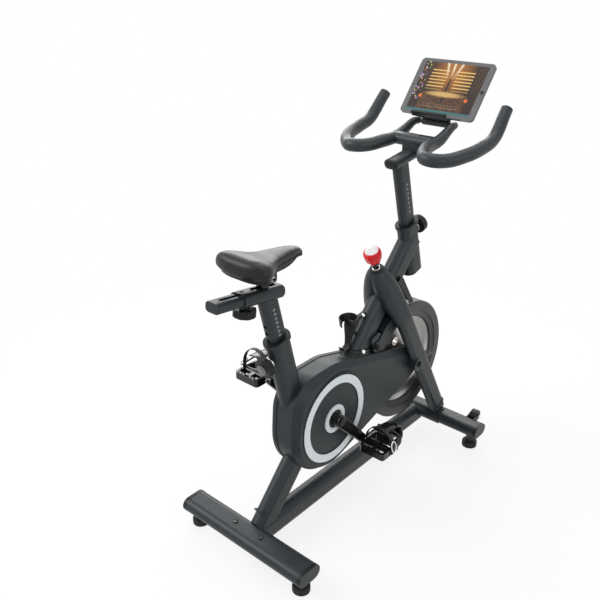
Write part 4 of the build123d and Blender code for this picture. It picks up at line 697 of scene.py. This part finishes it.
def show_screen():
    """A plain stage-light picture: warm beams, louvres, dark wings, a row of small lights and a teal bar."""
    f = Finish("tablet_display", Specular_IOR_Level=0.5, Roughness=0.12, Emission_Strength=1.0,
               Base_Color=(0.01, 0.008, 0.006, 1.0))
    on_screen = f.place(centre=tablet_mid, turn=(0, -math.radians(tablet_lean), 0))
    up, across, out = f.axes(on_screen)
    u = across / -0.211
    v = up / 0.162
    away = abs(u)
    # the lit hall: a warm wall with beams and louvres, and a floor in front of it
    wave = f.noise(f.place(scale=(1.0, 0.25, 1.0)), 130, 3.0, 0.65)
    glow = away.ramp(0.4, 0.05) * v.ramp(-0.3, 0.3)
    colour = f.mix(glow, (0.02, 0.007, 0.004), (0.42, 0.155, 0.024))
    floor_tone = f.mix(wave.ramp(0.42, 0.62), (0.022, 0.01, 0.006), (0.2, 0.08, 0.028))
    colour = f.mix(v.ramp(-0.08, -0.13), colour, floor_tone)
    louvre = (v * 96).sine().ramp(0.15, 0.85) * away.ramp(0.06, 0.075) * away.ramp(0.345, 0.325)
    louvre = louvre * v.ramp(-0.06, -0.03) * v.ramp(0.4, 0.36)
    colour = f.mix(louvre * (0.55 + wave * 0.7), colour, (1.0, 0.66, 0.2))
    for at, lean in ((-0.13, 0.22), (0.1, -0.22), (-0.02, 0.05)):
        ray = abs(u - at - (0.5 - v) * lean)
        colour = f.mix(ray.ramp(0.03, 0.0) * v.ramp(0.12, 0.5), colour, (1.0, 0.88, 0.6))
    post = away.ramp(0.02, 0.012) * v.ramp(-0.3, -0.28) * v.ramp(0.2, 0.18)
    colour = f.mix(post * wave.ramp(0.35, 0.5), colour, (0.006, 0.005, 0.006))
    spill = (u * u * 2.4 + (v + 0.13) * (v + 0.13) * 60).ramp(0.3, 0.0)
    colour = f.mix(spill * 0.75, colour, (0.95, 0.6, 0.2))
    # dark wings at both sides, with thin slats and a red lamp each
    wings = away.ramp(0.355, 0.365) * (1.0 - away.ramp(0.47, 0.48) * 0.3)
    colour = f.mix(wings * 0.9, colour, (0.012, 0.008, 0.007))
    slats = (u * 150).sine().ramp(0.7, 0.95) * v.ramp(-0.2, 0.1) * wings
    colour = f.mix(slats * 0.28, colour, (0.62, 0.26, 0.06))
    for side in (-1, 1):
        bulb = ((u - side * 0.36) * (u - side * 0.36) * 1.7 + (v + 0.2) * (v + 0.2)).ramp(0.0022, 0.0)
        colour = f.mix(bulb, colour, (0.95, 0.2, 0.05))
    # a row of small lights down the left edge, grain over all of it, blank score marks and a bar below
    seen = f.cells(on_screen, 120).ramp(0.42, 0.3) * u.ramp(-0.385, -0.395) * v.ramp(-0.3, -0.26)
    tint = f.cells(on_screen, 120, "Color")
    colour = f.mix(seen * 0.9, colour, f.mix(0.35, tint, (0.9, 0.55, 0.35)))
    grit = f.noise(f.place(), 700, 2.0, 0.7, 7.0)
    colour = f.mix(grit.ramp(0.45, 0.7) * 0.45, colour, (0.008, 0.005, 0.004))
    score = (u * 210).sine().ramp(0.2, 0.6) * (v * 90).sine().ramp(0.0, 0.5) * away.ramp(0.3, 0.28)
    colour = f.mix(score * v.ramp(-0.405, -0.395) * v.ramp(-0.335, -0.345), colour, (0.45, 0.42, 0.36))
    f.set(Emission_Color=f.mix(v.ramp(-0.452, -0.46), colour, (0.03, 0.15, 0.16)))
    return f.material


nodes["tablet_screen"].data.materials[0] = show_screen()


# ---------- tension knob, brake arm and its screws

def scooped_dial():
    """The red knob: six finger scoops in a turned body that runs out round under its crown."""
    scoops, deep = 6, 0.12
    crown, run_out = 0.06, 0.01
    piece = turned("dial_body",
                   [(0, 31.4), (17, 31.4), (20.5, 33), (22.8, 37), (24.4, 43), (25.6, 49.5), (26.4, 55.5),
                    (26.7, 60.5), (26, 65.5), (24, 69.2), (21.4, 71.2), (20.4, 71.4), (0, 71.4)], red,
                   body="tension_dial", steps=96, smooth=75)
    for vertex in piece.data.vertices:
        hollow = 0.5 + 0.5 * math.cos(scoops * math.atan2(vertex.co.y, vertex.co.x) + 0.9)
        fade = min(1.0, max(0.0, (crown - vertex.co.z) / run_out))
        vertex.co.xy *= 1.0 - deep * fade * hollow ** 2
    piece.data.transform(stand(knob_foot, knob_up))
    return piece


dial = scooped_dial()
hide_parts("tension_knob")
turned("dial_disc", [(0, 2.8), (10, 2.6), (17, 1.8), (19.8, 0.6), (20.4, -1)], white,
       stand(knob_foot + knob_up * 0.0712, knob_up), "tension_dial")
turned("dial_stem", [(6, 23), (7.4, 23), (8, 24), (8, 29), (9.2, 31.2), (6, 31.2), (6, 23)], black,
       stand(knob_foot, knob_up), "tension_rod")
turned("neck_ring", [(9.4, 5.6), (12.2, 5.6), (12.6, 6.2), (12, 7.4), (11, 7.7), (9.6, 7), (9.4, 5.6)],
       bright, stand(knob_foot, knob_up))
pivot_turn, pivot_far, pad_far = 146, 0.2183, 0.196
pivot = wheel + way(pivot_turn) * pivot_far
for side, s in SIDES:
    turned("brake_pivot_" + side,
           [(0, 4.8), (3.5, 4.4), (6, 2.6), (7, 0.6), (9.6, 0.4), (10, -0.8), (10, -2)], black,
           stand((pivot.x, s * 0.0424, pivot.z), left * s))
    for k, turn in enumerate((116, 126)):
        at = wheel + way(turn) * pad_far
        hex_bolt("brake_bolt_%s_%d" % (side, k + 1), 0.008, 0.003, gloss,
                 stand((at.x, s * 0.0362, at.z), left * s), "magnet_arm")


# ---------- belt guard: boot, slots and a groove shown in painted shade, ring trims and caps

guard_up, guard_ahead = (0.2561, 0, 0.9667), (0.9667, 0, -0.2561)
turned("tube_boot", [(21.5, -4), (34, -4), (34.5, 4), (33.5, 6.2), (30.5, 7), (30, 13.5), (28.8, 15.5),
                     (26.2, 16.2), (21.5, 16.2), (21.5, -4)], black,
       stand(by_crank(0.1598, 0, 0.4483), guard_up, guard_ahead), straight=0.0385, shear=0.45)
lean = math.tan(math.radians(1.1))
# Two gloss black dishes stand for slots in the guard: the dark inside each slot is painted shade.
for k, (x, z, turn) in enumerate(((0.316, 0.3835, 0.5), (0.399, 0.302, 0.9))):
    turned("guard_slot_%d" % (k + 1), [(0, 0.4), (2.8, 0.4), (3.6, 0.7), (4.2, 0.1), (4.2, -1)], gloss,
           stand(by_crank(x, -0.0553 + x * lean, z), (lean, -1, 0), (math.cos(turn), 0, math.sin(turn))),
           straight=0.009)
# A black bead stands for the groove round the ring: the groove's dark is painted shade.
turned("disc_groove", [(137.6, 0), (139, 0.6), (140.4, 0), (140, -1.5), (138, -1.5), (137.6, 0)], black,
       stand((cx, -0.0567, cz), -left), steps=96)
for name, inner, outer in (("outer", 133, 134.5), ("inner", 107.5, 109)):
    turned("ring_edge_" + name,
           [(inner, -1), (inner, 1.2), ((inner + outer) / 2, 1.7), (outer, 1.2), (outer, -1), (inner, -1)],
           moulded, stand((cx, -0.0566, cz), -left), steps=96)
for side, s in SIDES:
    turned("crank_cap_" + side, [(0, 4.2), (4.5, 4), (5, 2.8), (8.8, 3.2), (11.6, 1.4), (12, -0.6), (12, -3)],
           gloss, stand((cx, s * 0.0862, cz), left * s), "crank")
    eye = pedals[side]
    turned("pedal_washer_" + side,
           [(5.2, 0), (10.4, 0), (10.8, 0.8), (10, 1.8), (6, 2.2), (5.2, 2.2), (5.2, 0)], bright,
           stand((eye.x, s * 0.0869, eye.z), left * s), "crank")
turned("hub_collar", [(18, -2), (26.2, -2), (26.8, 0), (25.5, 2), (20, 3.4), (18, 3.4), (18, -2)], black,
       stand((cx, -0.0585, cz), -left), steps=56)
turned("hub_collar_left", [(10, 0), (29.5, 0), (31, 1), (29, 3), (16, 4), (10, 4), (10, 0)], black,
       stand((cx, 0.0382, cz), left), steps=56)


# ---------- wheel axle, caps and lugs of the legs

leg_face = 0.0879
axle = turned("wheel_axle", [(0, -70), (8.8, -70), (9.4, -69), (9.4, -46), (9.4, 46), (9.4, 69), (8.8, 70),
                             (0, 70)], plate, stand((wx, 0, wz), left))
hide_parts("flywheel_axle")
for side, s in SIDES:
    turned("axle_cap_" + side, [(0, 1), (4, 1), (10, 1.2), (11.8, 0.6), (12.4, -0.4)], paint,
           stand((wx, s * leg_face, wz), left * s))
    turned("axle_plug_" + side, [(0, 0.4), (2, 0.4), (2.6, 0.8), (4.2, 0.9), (5, 0.4), (5.2, -0.6)], gloss,
           stand((wx, s * (leg_face + 0.0011), wz), left * s), steps=28)
    block("leg_lug_" + side, (0.062, 0.005, 0.026), paint,
          stand(by_crank(0.484, s * 0.0635, 0.337), (0, 0, 1), (1, 0, -0.12)), 0.0018)
    # A gloss black dish stands for the hole through each lug: the hole's dark is painted shade.
    turned("lug_hole_" + side, [(0, 0.2), (4, 0.2), (5, 1), (6.4, 1), (7, -1)], gloss,
           stand(by_crank(0.503, s * 0.0662, 0.335), left * s), steps=28)


# ---------- base: bolts, end caps, feet, rollers and welds

up = (0, 0, 1)
rear_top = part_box("rear_stabilizer")[1].z
for k, s in enumerate((1, -1)):
    hex_bolt("rear_base_bolt_%d" % (k + 1), 0.013, 0.0055, gloss,
             stand(by_crank(-0.3, s * 0.048, rear_top - 0.0002), up))
# Each cross tube: place along the bike, height, length and height of its section, half length, feet's reach.
for name, x, z, long, short, half, foot_out in (("front", 0.552, 0.07, 0.068, 0.04, 0.242, 0.208),
                                                ("rear", -0.301, 0.0655, 0.08, 0.042, 0.225, 0.195)):
    r = short * 500
    for side, s in SIDES:
        turned("end_cap_%s_%s" % (name, side),
               [(0, 0.4), (r - 6, 0.4), (r - 4.5, -0.4), (r - 3.2, 0.4), (r - 1.2, 0.2), (r + 0.4, -1.2),
                (r + 0.6, -10), (r, -10.6)], black, stand(by_crank(x, s * (half - 0.0006), z), left * s),
               straight=long - short, steps=48)
        foot = "%s_%s" % (name, side)
        turned("foot_pad_" + foot,
               [(22.5, 0.4), (24.3, 1.2), (24.6, 5), (24, 5.8), (24.6, 6.6), (24.6, 11), (24, 11.8),
                (24.6, 12.6), (24.3, 17.8), (22.2, 20.3), (15, 20.8), (14.2, 20.3), (22.5, 0.4)], rubber,
               stand(by_crank(x, s * foot_out, 0), up), "leveller_" + foot, steps=48)
        turned("lock_nut_" + foot,
               [(5.4, 0), (9.5, 0), (10.4, 1), (10.4, 4.8), (9.5, 5.8), (5.4, 5.8), (5.4, 0)], plate,
               stand(by_crank(x, s * foot_out, z - short / 2 - 0.0075), up), "leveller_" + foot, steps=6,
               smooth=20)
for side, s in SIDES:
    roller = by_crank(0.604, s * 0.191, 0.087)
    turned("roller_tyre_" + side,
           [(15, -10.8), (18.8, -11), (19.8, -9.4), (20, -4), (19.4, -3.2), (19.4, 3.2), (20, 4), (19.8, 9.4),
            (18.8, 11), (15, 10.8), (15, -10.8)], rubber, stand(roller, left), "roller_" + side, steps=48)
    for t in (1, -1):
        turned("roller_pin_%s_%d" % (side, t + 2), [(0, 3), (3.5, 2.6), (5.8, 0.8), (6.2, 0)], plate,
               stand(roller + left * t * 0.017, left * t), steps=24)


def oval_weld(name, centre, up, ahead, long, short):
    """A weld bead round an oval tube: a closed bar with the uneven steps of a hand-laid bead."""
    bead, uneven, steps = 2.4, 0.16, 48
    turn = stand((0, 0, 0), up, ahead).to_3x3()
    half, radius = (long - short) / 2, short / 2
    points = []
    for k in range(steps):
        c, s = math.cos(math.tau * k / steps), math.sin(math.tau * k / steps)
        x = c * radius + math.copysign(half, c) * min(1.0, abs(c) * 3.0)
        points.append((*(turn @ Vector((x, s * radius, 0))), bead * (1.0 + uneven * math.sin(k * 2.1))))
    bent(name, centre, points, paint, "frame", closed=True, detail=3)


oval_weld("strut_weld", by_crank(-0.2235, 0, 0.091), (-0.669, 0, -0.743), (0.743, 0, -0.669), 94, 46)
for side, s in SIDES:
    oval_weld("leg_weld_" + side, by_crank(0.544, s * 0.0711, 0.1107), (0.468, s * 0.037, -0.884),
              (0.884, 0, 0.468), 64, 34)
oval_weld("stub_weld", by_crank(0.331, 0, 0.055), (1, 0, 0), (0, 0, 1), 69, 45)


# ---------- bottle cage and its screws

cage_hub = by_crank(0.127, 0, 0.56)


def open_ring():
    """The cage's ring, cut open on its rear right side and closed again over both cut ends."""
    piece = turned("bottle_ring",
                   [(23.6, -9), (25.8, -9), (26.6, -7.8), (27.4, 12), (28.6, 14.2), (27.6, 16), (25.6, 15),
                    (24.4, 12.6), (23.6, -9)], black, steps=64)
    hold(piece, "EDIT")
    pick(piece, lambda at, normal: at.x < -0.006 and at.y < 0.01 and at.y < -0.2 * at.x)
    bpy.ops.mesh.delete(type="FACE")
    bpy.ops.mesh.select_mode(type="EDGE")
    select_all()
    bpy.ops.mesh.region_to_loop()
    bpy.ops.mesh.fill()
    rest()
    piece.data.transform(stand(cage_hub, (-0.1, 0, 1), (1, 0, 0.1)))


open_ring()
turned("bottle_ring_tip", [(0, -4.2), (2.4, -3.4), (4, -1), (4, 1.2), (2.4, 3.4), (0, 4.2)], black,
       stand(cage_hub + Vector((-0.0235, 0.008, 0.0035)), up), steps=16)
block("bottle_mount", (0.05, 0.017, 0.0105), black,
      stand(cage_hub + Vector((0.05, 0, -0.002)), (-0.16, 0, 1), (1, 0, 0.16)), 0.0022)
spine = strip("bottle_spine", ((-12, 1.5), (-6, 0.2), (0, 0), (6, 0.2), (12, 1.5)),
              ((96, 488, 0.7), (98.5, 480, 0.72), (106.5, 474.5, 0.72), (117.5, 476, 0.74), (124, 485, 0.8),
               (128, 500, 0.98), (130, 518, 1.22), (132, 534, 1.62), (137, 548, 1.95), (144, 560, 1.95)),
              black, "frame", 0.0032, Matrix.Translation((cx, 0, 0)))
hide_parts("bottle_cage")
for k, (x, z, deep) in enumerate(((0.125, 0.492, 20), (0.14, 0.531, 36))):
    turned("cage_standoff_%d" % (k + 1), [(0, 0), (5, 0), (5.6, 1), (5.6, deep), (0, deep)], black,
           stand(by_crank(x, 0, z), (0.736, 0, -0.677)), steps=20)
turned("cage_screw", [(0, 0.6), (1.8, 0.6), (2, 2.2), (3.8, 2.6), (5, 1.2), (5.2, -2)], bright,
       stand(cage_hub + Vector((0.059, -0.0085, 0.003)), (-0.2, -1, 0.3)), steps=24)
turned("guard_bolt", [(0, 4), (3.4, 3.8), (6.2, 2.2), (7.2, 0.2), (7.2, -6)], bright,
       stand(by_crank(0.1625, -0.0315, 0.46), (-0.25, -1, 0.35)), steps=24)


# ---------- pedals: studs, caps, straps and toe clips

def strap_weave():
    """Black nylon webbing with a fine diagonal rib."""
    f = Finish("strap_webbing", Specular_IOR_Level=0.35)
    x, y, z = f.axes(f.place())
    ribs = 5200
    slope = z * 0.8 + y * 0.8
    rib = ((x + slope) * ribs).sine().ramp(-1.0, 1.0)
    cross = ((x - slope) * ribs).sine().ramp(-1.0, 1.0)
    weave = rib * 0.6 + cross * 0.4
    f.set(Base_Color=f.mix(weave, (0.008, 0.008, 0.008), (0.02, 0.02, 0.021)), Roughness=0.62 - weave * 0.15,
          Normal=f.bump(weave, 0.5, 0.0002))
    return f.material


webbing = strap_weave()


def toe_strap(side, mid, high, body):
    """Webbing that stands in a half loop over the foot and goes down beside the pedal."""
    steps, reach, back, foot, spring = 24, 47.2, -4, -6, 18
    loop = [(reach, foot)]
    for k in range(steps + 1):
        a = math.pi * k / steps
        loop.append((math.cos(a) * reach, spring + math.sin(a) * high))
    loop.append((-reach, foot))
    piece = first_point("toe_strap_" + side, mid + Vector((back, *loop[0])) / 1000)
    for a, b in zip(loop, loop[1:]):
        pull(0, (b[0] - a[0]) / 1000, (b[1] - a[1]) / 1000)
    select_all()
    pull(0.013, 0, 0)
    close_up()
    finish_piece(piece, webbing, body, modifiers=(("SOLIDIFY", {"thickness": 0.0018, "offset": 0.0}),
                                                  ("BEVEL", {"width": 0.0005, "segments": 2})), smooth=50)


def buckle(side, s, mid, wide, tall, square, body):
    """The strap's wire buckle: a closed ring that leans out a little; below 1 square makes it boxier."""
    turn = stand((0, 0, 0), (0, s, 0.25)).to_3x3()
    points = []
    for k in range(24):
        c, t = math.cos(math.tau * k / 24), math.sin(math.tau * k / 24)
        x = wide * math.copysign(abs(c) ** square, c)
        y = tall * math.copysign(abs(t) ** square, t)
        points.append((*(turn @ Vector((x, y, 0.0))), 1.7))
    bent("buckle_" + side, mid + Vector((0.0025, s * 0.0492, 0.02)), points, bright, body, closed=True,
         detail=3)


def toe_clip(side, mid, body):
    """The moulded clip that runs forward, up and back over the toes, with its rails and stays."""
    section = ((-30, -4.5), (-19, -1), (0, 0), (19, -1), (30, -4.5))
    path = ((36, -3, 0.98), (56, -3, 0.94), (74, 3.5, 0.84), (86.5, 18, 0.74), (86, 34, 0.68), (73, 46, 0.66),
            (52, 53, 0.66), (28, 56, 0.68), (2, 57.5, 0.7), (-6, 57, 0.7))
    clip = strip("toe_clip_" + side, section, path, gloss, body, 0.0026, Matrix.Translation(mid),
                 open_at=lambda at: 0.048 < at.x < 0.07 and abs(at.y) < 0.02)
    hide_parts("toe_cage_" + side)
    rail = ((-6, 47, 14, 2.2), (20, 46.8, 18, 2.6), (46, 43, 22, 2.8), (68, 33, 26, 2.6), (81, 19, 28, 2.2))
    stay = ((38, 40, -2, 2.6), (50, 41, 10, 2.6), (46, 40, 28, 2.6), (34, 30, 46, 2.4), (26, 17, 55.5, 2.2))
    for k, t in enumerate((1, -1)):
        for name, points in (("rail", rail), ("stay", stay)):
            points = [(x, t * y, z, radius) for x, y, z, radius in points]
            bent("toe_%s_%s_%d" % (name, side, k + 1), mid, points, gloss, body, detail=6)


def pedal_trim(side, s, strap_high, wide, tall, square):
    """All that is put on one pedal: two rows of studs, the spindle's cap, strap, buckle and clip."""
    mid = pedals[side]
    body = "pedal_l" if side == "left" else "pedal_r"
    row_out, pitch, row = 0.0375, 0.0118, 6
    places = [Vector((end * row_out, (k - (row - 1) / 2) * pitch, 0)) for end in (1, -1) for k in range(row)]
    stud = turned("pedal_stud_%s_1" % side, [(0, 3.4), (1.1, 3.3), (1.6, 2.2), (1.9, -0.6)], gloss,
                  stand(mid + places[0] + Vector((0, 0, 0.0108)), up), body, steps=10)
    for k, place in enumerate(places[1:]):
        copy_to(stud, "pedal_stud_%s_%d" % (side, k + 2), Matrix.Translation(place - places[0]), body)
    turned("pedal_cap_" + side, [(0, 4.4), (5, 4), (9, 2.2), (11.2, 0), (11.6, -6), (10.8, -7.5)], black,
           stand(mid + left * s * 0.0422, left * s), body, steps=32)
    toe_strap(side, mid, strap_high, body)
    buckle(side, s, mid, wide, tall, square, body)
    toe_clip(side, mid, body)


pedal_trim("right", -1, 44, 10.5, 17, 1.0)
pedal_trim("left", 1, 59, 12, 10, 0.62)


# ---------- rib on the brake shroud

block("shroud_rib", (0.062, 0.003, 0.1), black, stand(by_crank(0.3795, 0, 0.58), (-0.549, 0, 0.835), left),
      0.0009, 2)


# ---------- camera, light and floor

def aimed(name, data, place, target):
    """A camera or a lamp at a place, turned so that it looks at its target."""
    thing = bpy.data.objects.new(name, data)
    thing.location = place
    thing.rotation_euler = (Vector(target) - thing.location).to_track_quat("-Z", "Y").to_euler()
    scene.collection.objects.link(thing)
    return thing


def softbox(name, place, target, wide, high, watts):
    lamp = bpy.data.lights.new(name, "AREA")
    lamp.shape = "RECTANGLE"
    lamp.size, lamp.size_y, lamp.energy = wide, high, watts
    aimed(name, lamp, place, target)


def room_light(strength):
    """An even, slightly cool light from all round, behind a background that is seen as pure white."""
    scene.world = bpy.data.worlds.new("room")
    scene.world.use_nodes = True
    room = scene.world.node_tree
    light = room.nodes["Background"]
    light.inputs["Color"].default_value = (0.95, 0.97, 1.0, 1.0)
    light.inputs["Strength"].default_value = strength
    white_sky = room.nodes.new("ShaderNodeBackground")
    white_sky.inputs["Color"].default_value = (1, 1, 1, 1)
    rays = room.nodes.new("ShaderNodeLightPath").outputs
    looked = rays["Is Camera Ray"]
    for kind in ("Is Glossy Ray", "Is Transmission Ray"):
        either = room.nodes.new("ShaderNodeMath")
        either.operation = "MAXIMUM"
        room.links.new(looked, either.inputs[0])
        room.links.new(rays[kind], either.inputs[1])
        looked = either.outputs[0]
    choose = room.nodes.new("ShaderNodeMixShader")
    for k, output in enumerate((looked, light.outputs[0], white_sky.outputs[0])):
        room.links.new(output, choose.inputs[k])
    room.links.new(choose.outputs[0], room.nodes["World Output"].inputs["Surface"])


def floor_finish():
    """A pale studio floor that keeps the shadow and goes to white where nothing shades it."""
    f = Finish("studio_floor", Roughness=0.9, Specular_IOR_Level=0.1)
    drift = f.noise(f.place(), 0.7, 2.0)
    f.set(Base_Color=f.mix(drift, (0.93, 0.93, 0.93), (0.95, 0.95, 0.95)))
    rays = f.node("ShaderNodeLightPath").socket.node.outputs
    looked = Wire(f, rays["Is Camera Ray"]).most(Wire(f, rays["Is Glossy Ray"]))
    looked = looked.most(Wire(f, rays["Is Transmission Ray"]))
    clean = f.node("ShaderNodeEmission", None, {"Color": (1, 1, 1), "Strength": 1.0})
    x, y, z = f.axes(f.place())
    far = (x * x + y * y).root().ramp(0.65, 1.8)
    both = f.node("ShaderNodeMixShader", None,
                  {0: looked * (far * 0.16 + 0.84), 1: Wire(f, f.shader.outputs[0]), 2: clean})
    f.tree.links.new(both.socket, f.tree.nodes["Material Output"].inputs["Surface"])
    return f.material


camera = bpy.data.cameras.new("camera")
camera.lens = 44.28
camera.clip_end = 200
scene.camera = aimed("camera", camera, (-1.5017, -1.1374, 1.5165), (-0.1096, 0.0842, 0.6445))
scene.view_settings.view_transform = "Standard"
softbox("window_left", (-2.6, 3.0, 3.4), (0, 0, 0.6), 3.0, 2.4, 140)
softbox("fill_right", (-0.6, -4.2, 2.2), (0, 0, 0.5), 3.0, 2.0, 40)
softbox("top", (0.6, 0.2, 4.2), (0.1, 0, 0.5), 3.2, 3.2, 60)
softbox("behind", (3.0, 2.4, 2.3), (0, 0, 0.5), 3.4, 1.8, 90)
room_light(0.28)

rest()
bpy.ops.mesh.primitive_plane_add(size=120, location=(0, 0, 0))
floor = bpy.context.object
floor.name = "studio_floor"
floor.data.materials.append(floor_finish())


# ---------- close

rest()
